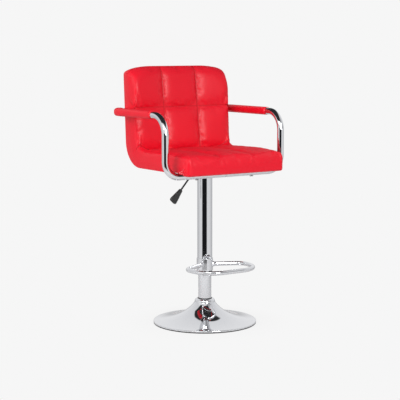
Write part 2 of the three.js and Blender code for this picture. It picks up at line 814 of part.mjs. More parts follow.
function leverRod() {
  const eye = bar(LEVER_EYE, -EYE_WIDTH / 2, EYE_WIDTH / 2)
    .rotateX(Math.PI / 2)
    .translate(-LEVER_PIVOT_X, 0, leverZ);
  const hole = bar(PIVOT_RADIUS + SLIDE, -EYE_WIDTH, EYE_WIDTH)
    .rotateX(Math.PI / 2)
    .translate(-LEVER_PIVOT_X, 0, leverZ);
  return solid(sweep(roundSection(LEVER_RADIUS), leverPath())).add(solid(eye)).subtract(solid(hole));
}

// The grip is a flat paddle that stands on edge: half width and half thickness along its length,
// as shares.
const GRIP_SHARES = [
  [0, 0, 0.9],
  [0.12, 0.1, 1],
  [0.45, 0.45, 1],
  [0.85, 0.93, 0.92],
  [0.95, 1, 0.8],
  [1, 0.85, 0.45],
];

function leverGrip() {
  const slope = radians(LEVER_SLOPE);
  const along = point(-Math.cos(slope), 0, -Math.sin(slope));
  const lift = point(-Math.sin(slope), 0, Math.cos(slope));
  const aside = point(0, 1, 0);
  const start = point(-LEVER_BEND_X, 0, leverZ).addScaledVector(along, LEVER_FREE);
  const rings = GRIP_SHARES.map(([run, wide, thick]) => {
    const middle = start.clone().addScaledVector(along, run * GRIP_LENGTH);
    const halfWide = GRIP_ROOT + wide * (GRIP_WIDE - GRIP_ROOT);
    return Array.from({ length: SMALL_SIDES }, (_, k) => {
      const angle = (-2 * Math.PI * k) / SMALL_SIDES;
      return middle
        .clone()
        .addScaledVector(lift, halfWide * Math.cos(angle))
        .addScaledVector(aside, -thick * GRIP_THICK * Math.sin(angle));
    });
  });
  const bore = new BentPath([
    [start.clone().addScaledVector(along, -OVERRUN), 0],
    [start.clone().addScaledVector(along, LEVER_IN_GRIP + TOUCH), 0],
  ]);
  return loft(rings).subtract(solid(sweep(roundSection(LEVER_RADIUS + TOUCH), bore)));
}

// Rings of points joined into one closed body, each end closed to a point that may stand proud.
function loft(rings, proud = 0) {
  const count = rings[0].length;
  const ends = [rings[0], rings.at(-1)].map((ends, i) => {
    const middle = ends.reduce((sum, p) => sum.add(p), point(0, 0, 0)).divideScalar(count);
    middle.x += (i ? 1 : -1) * proud;
    return middle;
  });
  const points = [...rings.flat(), ...ends];
  const faces = [];
  const first = rings.length * count;
  for (let i = 0; i + 1 < rings.length; i++)
    for (let k = 0; k < count; k++) {
      const a = i * count + k;
      const b = i * count + ((k + 1) % count);
      faces.push(a, b, b + count, a, b + count, a + count);
    }
  for (let k = 0; k < count; k++) {
    const next = (k + 1) % count;
    faces.push(next, k, first);
    faces.push(first - count + k, first - count + next, first + 1);
  }
  const geometry = new THREE.BufferGeometry().setFromPoints(points);
  geometry.setIndex(faces);
  return solid(geometry);
}

add("lever_rod", leverRod(), blackSteel);
add("lever_grip", leverGrip(), blackPlastic);
const pivot = add("lever_pivot", solid(bar(PIVOT_RADIUS, -PIVOT_LENGTH / 2, PIVOT_LENGTH / 2)), zincSteel);
pivot.position.set(-LEVER_PIVOT_X, 0, leverZ);
pivot.rotation.x = Math.PI / 2;

// Outer line of seat and back, moved inwards by an inset. A strip between two insets is a sheet.

const rearLean = radians(REAR_LEAN);
const backTop = SEAT_UNDER + BACK_RISE;
const creaseZ = SEAT_UNDER + CREASE_RISE;
const rowZ = creaseZ + ROW_SHARE * (backTop - creaseZ);
const armZ = SEAT_UNDER + ARM_RISE_SHARE * BACK_RISE;
const armHalf = SEAT_HALF + ARM_OFFSET;
const cornerZ = SEAT_UNDER + SHELL_CORNER;

function rearY(z, inset = 0) {
  const turnZ = cornerZ - (SHELL_CORNER - inset) * Math.sin(rearLean);
  const turnY = CORNER_CENTRE_Y + (SHELL_CORNER - inset) * Math.cos(rearLean);
  return turnY + (z - turnZ) * Math.tan(rearLean);
}

function cornerArc(inset, from, to, cells, lastInset = inset) {
  return Array.from({ length: cells + 1 }, (_, k) => {
    const angle = radians(from + ((to - from) * k) / cells);
    const radius = SHELL_CORNER - THREE.MathUtils.lerp(inset, lastInset, k / cells);
    return [CORNER_CENTRE_Y + radius * Math.cos(angle), cornerZ + radius * Math.sin(angle)];
  });
}

function bentSheet(near, far, frontY, topZ, half, cells = 2 * CURVE_CELLS) {
  const line = (inset) => [
    [frontY, SEAT_UNDER + inset],
    ...cornerArc(inset, -90, -REAR_LEAN, cells),
    [rearY(topZ, inset), topZ],
  ];
  return across(outline([...line(near), ...line(far).reverse()]), half);
}

// A block seen from the front with rounded top corners, to trim a sheet's outline.
function frontTrim(half, topZ, corner) {
  const low = SEAT_UNDER - OVERRUN;
  const shape = outline([[-half, low], [half, low], [half, topZ, corner], [-half, topZ, corner]]);
  const deep = SEAT_FRONT + CORNER_CENTRE_Y + SHELL_CORNER;
  return new THREE.ExtrudeGeometry(shape, {
    depth: 2 * deep,
    bevelEnabled: false,
    curveSegments: CURVE_CELLS,
  })
    .rotateX(Math.PI / 2)
    .translate(0, deep, 0);
}

const coverInset = COVER_SHEET + TOUCH;
const shellTopZ = backTop - SHELL_BELOW_TOP;
const shellHalf = SEAT_HALF - SHELL_INSET;
const shellInset = coverInset;
const rearBoltAt = (inset) => rearY(armZ, inset);
const underSpots = [-UNDER_BOLT_X, UNDER_BOLT_X].map((x) => [x, -ARM_FRONT]);

function shellBody(grow) {
  const sheet = bentSheet(
    shellInset - grow * (OVERRUN + shellInset),
    shellInset + SHELL_THICKNESS + grow * TOUCH,
    SHELL_FRONT_INSET - SEAT_FRONT - grow * TOUCH,
    shellTopZ + grow * TOUCH,
    shellHalf + grow * TOUCH,
  );
  const trim = frontTrim(shellHalf + grow * TOUCH, shellTopZ + grow * TOUCH, SHELL_TOP_CORNER);
  return solid(sheet).intersect(solid(trim));
}

// The hole for a bolt and its flanged nut, pointing up from height 0 through the shell.
function nutHole() {
  const through = bar(NUT_BARREL + TOUCH, -SHELL_THICKNESS, 2 * SHELL_THICKNESS);
  const sunk = bar(NUT_FLANGE + TOUCH, SHELL_THICKNESS - NUT_FLANGE_HEIGHT - 3 * TOUCH, 2 * SHELL_THICKNESS);
  return [through, sunk];
}

function nut() {
  const top = SHELL_THICKNESS - 2 * TOUCH;
  return revolve(
    [
      [BOLT_RADIUS + TOUCH, TOUCH],
      [NUT_BARREL, TOUCH],
      [NUT_BARREL, top - NUT_FLANGE_HEIGHT],
      [NUT_FLANGE, top - NUT_FLANGE_HEIGHT],
      [NUT_FLANGE, top],
      [BOLT_RADIUS + TOUCH, top],
    ],
    SMALL_SIDES,
  );
}

// Where each nut and bolt stands: a point on the shell's outer face and the way into it.
const underFace = SEAT_UNDER + shellInset;
const fastenings = [
  ...boltSpots.map(([x, y], k) => ({ name: `plate_%_${k + 1}`, x, y, z: underFace, rear: false })),
  ...underSpots.map(([x, y], k) => ({
    name: `arm_%_under_${k ? "left" : "right"}`, x, y, z: underFace, rear: false,
  })),
  ...[-REAR_BOLT_X, REAR_BOLT_X].map((x, k) => ({
    name: `arm_%_rear_${k ? "left" : "right"}`, x, y: rearBoltAt(shellInset), z: armZ, rear: true,
  })),
];

function placed(thing, { x, y, z, rear }) {
  const turn = new THREE.Matrix4().makeRotationX(rear ? Math.PI / 2 : 0);
  const move = new THREE.Matrix4().makeTranslation(x, y, z);
  return thing.applyMatrix4(move.multiply(turn));
}

function seatShell() {
  return fastenings.reduce(
    (body, spot) => nutHole().reduce((b, hole) => b.subtract(solid(placed(hole, spot))), body),
    shellBody(0),
  );
}

function boltHoles(body, spots) {
  return spots.reduce((b, spot) => {
    const hole = bar(BOLT_RADIUS + TOUCH, -SEAT_ROLL - ARM_TUBE, SHELL_THICKNESS);
    return b.subtract(solid(placed(hole, spot)));
  }, body);
}

function rearCover() {
  const topZ = backTop - REAR_COVER_BELOW_TOP;
  const half = SEAT_HALF - REAR_COVER_INSET;
  const sheet = bentSheet(0, COVER_SHEET, DUST_REAR + TOUCH, topZ, half);
  const trimmed = solid(sheet).intersect(solid(frontTrim(half, topZ, REAR_COVER_CORNER)));
  return boltHoles(trimmed, fastenings.filter((spot) => spot.rear));
}

function dustCover() {
  const front = DUST_INSET - SEAT_FRONT;
  const half = SEAT_HALF - DUST_INSET;
  const shape = outline([
    [-half, front, DUST_CORNER],
    [half, front, DUST_CORNER],
    [half, DUST_REAR],
    [-half, DUST_REAR],
  ]);
  const sheet = solid(upright(shape, SEAT_UNDER, SEAT_UNDER + COVER_SHEET));
  return boltHoles(sheet, fastenings.filter((spot) => !spot.rear));
}

add("seat_shell", seatShell(), plywood);
add("rear_cover", rearCover(), redHide);
add("dust_cover", dustCover(), blackCloth);
for (const spot of fastenings) {
  const holder = add(spot.name.replace("%", "nut"), nut(), zincSteel);
  placed(holder, spot);
}

// Quilted cushions: rings across the width, each a side view of the cushion at that place

// How full a panel is between two seams, 0 on a seam and 1 in the middle.
const full = (share) => Math.sqrt(1 - Math.abs(2 * share - 1) ** PANEL_SQUARENESS);

// As above for a panel that has a seam at its start only and rolls over at its other edge.
const halfFull = (share) => full(Math.min(share, 1) / 2);

// How far a rounded edge has dropped at a distance past its start.
function rounded(past, reach, drop) {
  const share = THREE.MathUtils.clamp(past / reach, 0, 1);
  return drop * (1 - Math.sqrt(1 - share * share));
}

const fromEdge = (x, reach, drop) => rounded(Math.abs(x) - (SEAT_HALF - reach), reach, drop);
const sideRoll = (x) => fromEdge(x, SIDE_ROLL, SIDE_ROLL);
const rearRoll = (x) => fromEdge(x, REAR_ROLL, REAR_ROLL);

function fullAcross(x) {
  const past = Math.abs(x) - SEAM_X;
  return past < 0 ? full((x + SEAM_X) / (2 * SEAM_X)) : halfFull(past / (SEAT_HALF - SEAM_X));
}

const EDGE_SHARES = [0, 0.04, 0.13, 0.28, 0.5, 0.72, 0.87, 0.925, 0.965, 0.99, 1];

function widthStations() {
  const outward = EDGE_SHARES.map((share) => SEAM_X + share * (SEAT_HALF - SEAM_X));
  const middle = curvePoints(PANEL_CELLS, (run) => -SEAM_X * Math.cos(Math.PI * run)).slice(0, -1);
  return [...outward.map((x) => -x).reverse(), ...middle, ...outward];
}

function curvePoints(cells, at) {
  return Array.from({ length: cells }, (_, k) => at((k + 1) / cells));
}

// A quarter turn from straight up (or down) to sideways, about a centre.
function quarter(centre, reachY, reachZ, from, cells) {
  return curvePoints(cells, (run) => {
    const angle = from + (Math.PI / 2) * run;
    return [centre[0] + reachY * Math.cos(angle), centre[1] + reachZ * Math.sin(angle)];
  });
}

// The cut between seat and back runs from the crease straight away from the corner's centre.
const cutLine = new THREE.Vector2(CREASE_Y - CORNER_CENTRE_Y, creaseZ - cornerZ).normalize();
const cutAngle = THREE.MathUtils.radToDeg(Math.atan2(cutLine.y, cutLine.x));

function beside([y, z], side) {
  return [y + (side * cutLine.y * CUSHION_SPLIT) / 2, z - (side * cutLine.x * CUSHION_SPLIT) / 2];
}

function crease(x) {
  const drawn = (SEAM_DEPTH + sideRoll(x)) * Math.SQRT2;
  return [CREASE_Y + drawn * cutLine.x, creaseZ + drawn * cutLine.y];
}

// Near the sides the cover bridges the crease: how far it stands off forwards and upwards, at a
// distance from the crease.
function bridge(x, past) {
  const share = THREE.MathUtils.clamp((Math.abs(x) - SEAT_HALF + SIDE_ROLL) / BRIDGE_X + 1, 0, 1);
  const stand = BRIDGE * share * share * Math.max(0, 1 - past / BRIDGE_REACH) ** 2;
  return [stand * cutLine.x, -stand * cutLine.y];
}

// Seat: forwards over the crown, down the front to a lip, back along the underside and
// up the outer corner to the cut.
function seatRing(x) {
  const inset = coverInset + fromEdge(x, UNDER_ROLL, UNDER_ROLL);
  const frontY = fromEdge(x, SEAT_CORNER, SEAT_CORNER) - SEAT_FRONT;
  const under = SEAT_UNDER + inset;
  const lip = SEAT_UNDER - FRONT_LIP;
  const [startY, startZ] = crease(x);
  const [offY, offZ] = bridge(x, 0);
  const edgeY = frontY + SEAT_ROLL;
  const crown = SEAM_DEPTH * fullAcross(x) + SEAT_ARCH;
  const top = curvePoints(2 * PANEL_CELLS, (run) => {
    const rise = 1 - Math.max(0, 1 - run / CROWN_SHARE) ** 2;
    const fall = Math.max(0, (run - CROWN_SHARE) / (1 - CROWN_SHARE)) ** 2;
    const past = run * (startY - offY - edgeY);
    const z = startZ + crown * rise - SEAT_FALL * fall;
    return [startY - offY - past, z + bridge(x, past)[1]];
  });
  const topEdge = startZ + crown - SEAT_FALL;
  const roundDown = quarter([edgeY, topEdge - SEAT_ROLL], SEAT_ROLL, SEAT_ROLL, Math.PI / 2, CURVE_CELLS);
  const footRoll = SEAT_FOOT_ROLL;
  const foot = quarter([frontY + footRoll, lip + footRoll], footRoll, footRoll, Math.PI, 2);
  const lipRear = frontY + footRoll + LIP_WIDTH;
  const corner = cornerArc(inset, -90, cutAngle, CURVE_CELLS, coverInset + rearRoll(x));
  return [
    beside([startY - offY, startZ + offZ], 1),
    ...top,
    ...roundDown,
    [frontY, lip + footRoll],
    ...foot,
    [lipRear, lip],
    [lipRear + LIP_SLOPE, under],
    ...corner.slice(0, -1),
    beside(corner.at(-1), 1),
  ].map(([y, z]) => point(x, y, z));
}

// Back: up over two rows of panels, round the crest and down the rear to the cut.
function backRing(x) {
  const roll = sideRoll(x);
  const lift = rearRoll(x);
  const [startY, startZ] = crease(x);
  const [offY, offZ] = bridge(x, 0);
  const crestZ = backTop - fromEdge(x, CREST_CORNER_X, CREST_CORNER_Z);
  const edgeZ = backTop - BACK_ROLL_Z - fromEdge(x, FRONT_CORNER_X, FRONT_CORNER_Z);
  const lean = BACK_LEAN_RUN * (1 - BACK_WRAP_SHARE * (x / SEAT_HALF) ** 2);
  const edgeY = startY + lean * ((edgeZ - startZ) / (backTop - BACK_ROLL_Z - creaseZ));
  const front = curvePoints(2 * PANEL_CELLS, (run) => {
    const z = run < 1 / 2
      ? startZ + offZ + 2 * run * (rowZ - startZ - offZ)
      : rowZ + (2 * run - 1) * (edgeZ - rowZ);
    const rows = run < 1 / 2 ? full(2 * run) : halfFull(2 * run - 1);
    const y = startY + ((z - startZ) / (edgeZ - startZ)) * (edgeY - startY);
    return [y - SEAM_DEPTH * fullAcross(x) * rows - bridge(x, z - startZ - offZ)[0], z];
  });
  const face = edgeY - SEAM_DEPTH * fullAcross(x);
  const over = curvePoints(CURVE_CELLS + 1, (run) => {
    const angle = (Math.PI / 2) * run;
    return [CREST_Y - (CREST_Y - face) * Math.cos(angle), edgeZ + (crestZ - edgeZ) * Math.sin(angle)];
  });
  const rearZ = crestZ - REAR_EDGE_BELOW_CREST - lift;
  const inset = coverInset + lift;
  const corner = cornerArc(inset, -REAR_LEAN, cutAngle, CURVE_CELLS);
  return [
    beside([startY - offY, startZ + offZ], -1),
    ...front,
    ...over,
    ...curvePoints(REAR_CELLS, (run) => {
      const angle = (Math.PI / 2) * run;
      const reach = rearY(rearZ, inset) - CREST_Y;
      return [CREST_Y + reach * Math.sin(angle), rearZ + (crestZ - rearZ) * Math.cos(angle)];
    }),
    [rearY(rowZ, inset), rowZ],
    ...corner.slice(0, -1),
    beside(corner.at(-1), -1),
  ].map(([y, z]) => point(x, y, z)).reverse();
}

const pocket = shellBody(1);
add("seat_cushion", loft(widthStations().map(seatRing), SIDE_BULGE).subtract(pocket), redHide);
add("back_cushion", loft(widthStations().map(backRing), SIDE_BULGE).subtract(pocket), redHide);

// Arm loop: one tube under the seat, up both sides, back as arms and across behind the back

const armUnder = SEAT_UNDER - TOUCH - ARM_TUBE;
const armRear = rearY(armZ) + TOUCH + ARM_TUBE;

function armPath() {
  const half = (side) => [
    [point((side * ARM_JOINT) / 2, -ARM_FRONT, armUnder), 0],
    [point(side * armHalf, -ARM_FRONT, armUnder), ARM_UNDER_BEND],
    [point(side * armHalf, -ARM_FRONT, armZ), ARM_FRONT_BEND],
    [point(side * armHalf, armRear, armZ), ARM_REAR_BEND],
  ];
  return new BentPath([...half(1), ...half(-1).reverse()]);
}

function armFrame() {
  const tube = solid(sweep(roundSection(ARM_TUBE, ARM_SIDES), armPath()))
    .subtract(solid(sweep(roundSection(ARM_TUBE - ARM_WALL, SMALL_SIDES), armPath().longer(ARM_JOINT / 4))));
  return fastenings.slice(boltSpots.length).reduce((body, spot) => {
    const hole = bar(BOLT_RADIUS + TOUCH, -3 * ARM_TUBE, SHELL_THICKNESS);
    return body.subtract(solid(placed(hole, spot)));
  }, tube);
}

function armPad(side) {
  const whole = armPath();
  const bendStart = point(side * armHalf, armRear - ARM_REAR_BEND, armZ);
  const first = whole.stations.findIndex(({ at }) => at.distanceTo(bendStart) < TOUCH);
  const wrap = Math.round(PAD_WRAP_SHARE * BEND_STEPS) * side;
  const bend = [0, wrap].map((k) => first + k).sort((a, b) => a - b);
  const stations = whole.stations.slice(bend[0], bend[1] + 1);
  const start = { at: point(side * armHalf, -PAD_FRONT, armZ), along: point(0, side, 0) };
  if (side > 0) stations.unshift(start);
  else stations.push(start);
  const run = whole.with(stations);
  const section = box(PAD_HALF_HEIGHT, PAD_HALF_WIDTH, PAD_ROUND);
  const bore = sweep(roundSection(ARM_TUBE + TOUCH, ARM_SIDES), run.longer(OVERRUN));
  return solid(sweep(section, run)).subtract(solid(bore));
}

add("arm_frame", armFrame(), chrome);
add("arm_pad_right", armPad(-1), redHide);
add("arm_pad_left", armPad(1), redHide);

// Bolts: heads under the plate, under the arm tube and behind it
for (const spot of fastenings) {
  const arm = spot.name.startsWith("arm");
  const below = (arm ? 2 * ARM_TUBE + TOUCH : PLATE_THICKNESS + TOUCH) + COVER_SHEET + 2 * TOUCH;
  const length = below + SHELL_THICKNESS - 2 * TOUCH;
  const shank = bolt(length).translate(0, 0, -below);
  const mesh = add(spot.name.replace("%", "bolt"), shank, zincSteel);
  placed(mesh, spot);
}

export default stool;
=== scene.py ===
# %% [markdown]
# # A counter stool: the looks
# The stool is already built as a set of solids. Here each piece gets its real surface: soft,
# quilted leatherette on the seat and back, chrome tubes that reflect a studio, a black lever.
# All lengths are in metres, +Z is up, the sitter faces -Y, and the column stands on the origin.
# The solids are a fixed frame: pieces made here take their place from them and move with them.

# %% Load the fixed frame
import json
import math

import bmesh
import bpy
import numpy as np
from mathutils import Matrix, Vector


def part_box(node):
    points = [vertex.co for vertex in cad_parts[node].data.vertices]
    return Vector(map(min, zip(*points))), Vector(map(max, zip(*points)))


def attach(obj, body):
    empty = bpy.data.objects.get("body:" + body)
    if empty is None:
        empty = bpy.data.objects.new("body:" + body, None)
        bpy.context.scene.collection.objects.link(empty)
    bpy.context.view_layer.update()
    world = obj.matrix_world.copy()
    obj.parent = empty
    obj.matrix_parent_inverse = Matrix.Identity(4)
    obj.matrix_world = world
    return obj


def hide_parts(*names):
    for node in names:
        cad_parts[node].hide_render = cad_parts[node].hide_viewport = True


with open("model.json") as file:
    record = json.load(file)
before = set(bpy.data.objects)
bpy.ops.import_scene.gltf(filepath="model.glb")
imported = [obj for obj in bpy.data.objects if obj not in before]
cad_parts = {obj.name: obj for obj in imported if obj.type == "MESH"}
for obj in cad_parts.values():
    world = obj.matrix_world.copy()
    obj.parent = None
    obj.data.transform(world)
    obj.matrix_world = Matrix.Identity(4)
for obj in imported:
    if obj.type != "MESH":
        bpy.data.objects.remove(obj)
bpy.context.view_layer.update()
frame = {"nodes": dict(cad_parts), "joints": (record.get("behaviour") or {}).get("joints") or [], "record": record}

nodes = frame["nodes"]
scene = bpy.context.scene
MM = 0.001

# %% [markdown]
# ## The camera
# The photograph was taken from the sitter's right and front, 34 degrees round and a little above
# the seat, from four and a half metres away. A long lens keeps the upright lines nearly parallel.
# The view is fixed by a handful of numbers, so they are written out and not aimed by hand.

# %% Camera
CAMERA_TURN = math.radians(34)
CAMERA_TILT = math.radians(7.22)
CAMERA_AWAY = 4.503
CAMERA_HEIGHT = 1.0323

lens = bpy.data.cameras.new("camera")
lens.lens = 109.97
lens.shift_x = -0.012
camera = bpy.data.objects.new("camera", lens)
scene.collection.objects.link(camera)
camera.location = (
    -CAMERA_AWAY * math.sin(CAMERA_TURN),
    -CAMERA_AWAY * math.cos(CAMERA_TURN),
    CAMERA_HEIGHT,
)
camera.rotation_euler = (math.pi / 2 - CAMERA_TILT, 0, -CAMERA_TURN)
scene.camera = camera
scene.view_settings.view_transform = "Standard"
print("camera at", tuple(round(v, 3) for v in camera.location))

# %% [markdown]
# ## Node trees as sums
# A finish is a tree of nodes. Wiring it by hand is slow to read, so a socket is wrapped in a
# small class that knows +, - and *. Then `1 - mask * 0.3` adds the Math nodes by itself.

# %% Sockets that can be added and multiplied
class Wire:
    """The output of a node, for use in sums."""

    def __init__(self, net, socket):
        self.net = net
        self.socket = socket

    def sum(self, operation, *values):
        return self.net.node("ShaderNodeMath", {"operation": operation}, *values)

    def __add__(self, other):
        return self.sum("ADD", self, other)

    def __sub__(self, other):
        return self.sum("SUBTRACT", self, other)

    def __rsub__(self, other):
        return self.sum("SUBTRACT", other, self)

    def __mul__(self, other):
        return self.sum("MULTIPLY", self, other)

    __radd__ = __add__
    __rmul__ = __mul__

    def between(self, low, high):
        """0 below low, 1 above high and a smooth slope between them."""
        settings = {"interpolation_type": "SMOOTHSTEP"}
        return self.net.node("ShaderNodeMapRange", settings, self, low, high, 0.0, 1.0)


print("sockets can be added, subtracted and multiplied")

# %% [markdown]
# Any other node comes from one method, which takes the node's type, its settings and its inputs.
# Short methods on top of it cover what comes back in most finishes: the point on the piece, a
# noise, a mix of two colours, a bump and the closing surface.

# %% A tree that is filled by calls
class Net:
    """The node tree of a material or of the world."""

    def __init__(self, owner):
        owner.use_nodes = True
        self.tree = owner.node_tree
        self.tree.nodes.clear()

    def node(self, kind, settings=None, *values, out=0, **named):
        node = self.tree.nodes.new(kind)
        for key, value in (settings or {}).items():
            setattr(node, key, value)
        named = {key.replace("_", " "): value for key, value in named.items()}
        for key, value in [*enumerate(values), *named.items()]:
            self.feed(node.inputs[key], value)
        return Wire(self, node.outputs[out] if node.outputs else None)

    def feed(self, socket, value):
        if isinstance(value, Wire):
            self.tree.links.new(value.socket, socket)
        elif value is not None:
            short = isinstance(value, tuple) and len(value) < len(socket.default_value)
            socket.default_value = (*value, 1.0) if short else value

    def mix(self, share, first, second):
        """A colour between two, by a share that may vary."""
        mixed = self.node("ShaderNodeMix", {"data_type": "RGBA"}, share, out=2)
        for key, colour in ((6, first), (7, second)):
            self.feed(mixed.socket.node.inputs[key], colour)
        return mixed

    def layer(self, share, under, over):
        return self.node("ShaderNodeMixShader", None, share, under, over)

    def dot(self, first, axis):
        settings = {"operation": "DOT_PRODUCT"}
        return self.node("ShaderNodeVectorMath", settings, first, tuple(axis), out=1)

    def place(self, scale=(1, 1, 1)):
        """The point on the piece, in metres, stretched by a scale for each axis."""
        here = self.node("ShaderNodeTexCoord", out=3)
        settings = {"operation": "MULTIPLY"}
        return self.node("ShaderNodeVectorMath", settings, here, scale)

    def noise(self, scale, detail=2.0, stretch=(1, 1, 1), rough=0.5):
        spot = self.place(stretch)
        return self.node(
            "ShaderNodeTexNoise", None, Vector=spot, Scale=scale, Detail=detail, Roughness=rough
        )

    def spots(self, scale, randomness):
        return self.node(
            "ShaderNodeTexVoronoi", None, Vector=self.place(), Scale=scale, Randomness=randomness
        )

    def bump(self, height, distance, strength):
        return self.node("ShaderNodeBump", None, Height=height, Distance=distance, Strength=strength)

    def surface(self, colour, roughness, normal=None, **fixed):
        fixed |= {"Base_Color": colour, "Roughness": roughness, "Normal": normal}
        self.show(self.node("ShaderNodeBsdfPrincipled", None, **fixed))

    def show(self, shader):
        self.node("ShaderNodeOutputMaterial", None, shader)


def finish(name):
    """A new material and its empty net."""
    material = bpy.data.materials.new(name)
    return material, Net(material)


def told(material):
    """Prints how large a finish is and hands it on."""
    print(f"{material.name}: {len(material.node_tree.nodes)} nodes")
    return material


print("nets ready")

# %% [markdown]
# ## The studio
# Chrome shows nothing but its surroundings, so the studio is the finish of half of this stool.
# The photograph tells what stood there. The dark strip up the column is a dark doorway behind the
# camera, the white patch in each arm's bend is a soft box, and the black tops of those bends
# are a dark canopy that ends above the stool. All the rest is a pale wall.
# Only reflections see this room. The camera sees a plain ground, and soft light comes from above.

# %% World
GROUND = (0.9216, 0.9216, 0.9216)
AHEAD = Vector((-math.sin(CAMERA_TURN), -math.cos(CAMERA_TURN), 0))
ASIDE = Vector((-AHEAD.y, AHEAD.x, 0))


def studio_world():
    world = bpy.data.worlds.new("studio")
    scene.world = world
    net = Net(world)
    gaze = net.node("ShaderNodeTexCoord", out=0)
    ahead, aside, up = (net.dot(gaze, axis) for axis in (AHEAD, ASIDE, (0, 0, 1)))
    behind = ahead * -0.5 + 0.5
    low_wall = net.mix(behind.between(0.3, 0.95), (0.86, 0.86, 0.87), (0.56, 0.56, 0.57))
    high_wall = net.mix(behind, (0.64, 0.64, 0.66), (0.93, 0.93, 0.94))
    wall = net.mix(up.between(-0.02, 0.22), low_wall, high_wall)
    strip = net.mix(aside.between(-0.1, 0.5), (0.98, 0.98, 0.98), (0.42, 0.42, 0.43))
    wall = net.mix(up.between(0.06, 0.14) * ahead.between(0.05, 0.3), wall, strip)
    door = aside.between(-0.70, -0.58) * (1 - aside.between(0.45, 0.58)) * ahead.between(0.0, 0.2)
    wall = net.mix(door * (1 - up.between(0.05, 0.12)), wall, (0.012, 0.012, 0.014))
    room = net.mix(up.between(-0.3, 0.6), (0.10, 0.10, 0.10), (0.50, 0.50, 0.51))
    glossy = net.node("ShaderNodeLightPath", out=3)
    seen = net.node("ShaderNodeLightPath", out=0)
    shown = net.mix(seen, net.mix(glossy, room, wall), GROUND)
    light = net.node("ShaderNodeBackground", None, shown, 1.0)
    net.node("ShaderNodeOutputWorld", None, light)


studio_world()
print("world of", len(scene.world.node_tree.nodes), "nodes")

# %% [markdown]
# The canopy hangs in the scene and isn't painted on the world, because it is near: the top of an
# arm and the top of the seat's edge see its rim in different places. Only mirrors see it.

# %% Canopy
CANOPY_HEIGHT, CANOPY_SLANT, CANOPY_FADE = 1.2, 0.45, 0.1
CANOPY_REAR, CANOPY_FRONT = -0.38, 0.66
CANOPY_LEFT, CANOPY_RIGHT = -0.80, 0.55


def canopy():
    """A dark roof over the stool that only mirrors see, with a rear edge that runs aslant."""
    far_rear = CANOPY_REAR - CANOPY_SLANT * (CANOPY_RIGHT - CANOPY_LEFT)
    corners = [(CANOPY_REAR, CANOPY_LEFT), (CANOPY_FRONT, CANOPY_LEFT),
               (CANOPY_FRONT, CANOPY_RIGHT), (far_rear, CANOPY_RIGHT)]
    points = [AHEAD * a + ASIDE * b + Vector((0, 0, CANOPY_HEIGHT)) for a, b in corners]
    mesh = bpy.data.meshes.new("canopy")
    mesh.from_pydata([tuple(p) for p in points], [], [(0, 1, 2, 3)])
    roof = bpy.data.objects.new("canopy", mesh)
    scene.collection.objects.link(roof)
    for kind in ("camera", "diffuse", "transmission", "volume_scatter", "shadow"):
        setattr(roof, "visible_" + kind, False)
    material, net = finish("canopy")
    spot = net.node("ShaderNodeTexCoord", out=3)
    along, across = (net.dot(spot, axis) for axis in (AHEAD, ASIDE))
    past_rear = along + across * CANOPY_SLANT - CANOPY_LEFT * CANOPY_SLANT
    share = past_rear.between(CANOPY_REAR, CANOPY_REAR + CANOPY_FADE)
    share = share * (1 - along.between(CANOPY_FRONT - CANOPY_FADE, CANOPY_FRONT))
    share = share * across.between(CANOPY_LEFT, CANOPY_LEFT + CANOPY_FADE)
    share = share * (1 - across.between(CANOPY_RIGHT - CANOPY_FADE, CANOPY_RIGHT))
    dark = net.node("ShaderNodeEmission", None, (0.030, 0.030, 0.032), 1.0)
    net.show(net.layer(share, net.node("ShaderNodeBsdfTransparent"), dark))
    mesh.materials.append(material)


canopy()
print("canopy hung at", CANOPY_HEIGHT)

# %% [markdown]
# A floor catches the soft shadow and gives the base something pale to reflect. It is a disc that
# fades out, so that the upper column sees the dark doorway behind it and not more floor.
# Soft boxes light the leatherette: a large one from the left that mirrors don't see, a tall one
# from the right, whose reflection is the highlight on each panel, and a weak one from the front.

# %% Floor and lights
def studio_floor():
    bpy.ops.mesh.primitive_circle_add(vertices=96, radius=9.0, fill_type="NGON")
    floor = bpy.context.object
    floor.name = "floor"
    material, net = finish("floor")
    away = net.node("ShaderNodeVectorMath", {"operation": "LENGTH"}, net.place(), out=1)
    near = 1 - away.between(0.8, 1.6)
    contact = 1 - away.between(0.16, 0.34)
    seen = net.node("ShaderNodeLightPath", out=0)
    matt = net.node("ShaderNodeBsdfDiffuse", None, (0.82, 0.82, 0.82))
    plain = net.node("ShaderNodeEmission", None, GROUND, 1.0)
    lit = net.layer(near, net.node("ShaderNodeBsdfTransparent"), matt)
    net.show(net.layer(seen, lit, net.layer(contact * 0.10, plain, matt)))
    floor.data.materials.append(material)


LAMP_AIM = 0.68


def soft_box(name, turn, away, height, width, tall, watts):
    """A square lamp at an angle round from the camera, aimed at the seat."""
    lamp = bpy.data.lights.new(name, "AREA")
    lamp.shape = "RECTANGLE"
    lamp.size, lamp.size_y, lamp.energy = width, tall, watts
    box = bpy.data.objects.new(name, lamp)
    scene.collection.objects.link(box)
    angle = CAMERA_TURN + math.radians(turn)
    box.location = (-away * math.sin(angle), -away * math.cos(angle), height)
    aim = Vector((0, 0, LAMP_AIM)) - box.location
    box.rotation_euler = aim.to_track_quat("-Z", "Y").to_euler()
    return box


studio_floor()
soft_box("box_left", 62, 2.6, 1.35, 1.8, 1.8, 42).visible_glossy = False
soft_box("box_right", -26, 2.8, 1.5, 0.8, 1.5, 52)
soft_box("box_front", 18, 3.2, 2.4, 1.4, 1.0, 18)
print("floor and soft boxes placed")

# %% [markdown]
# ## Finishes
# Chrome plate: a mirror, a shade darker than silver. Real plate isn't perfectly flat, so a slow
# ripple bends its reflections a little and a fine haze varies its gloss.

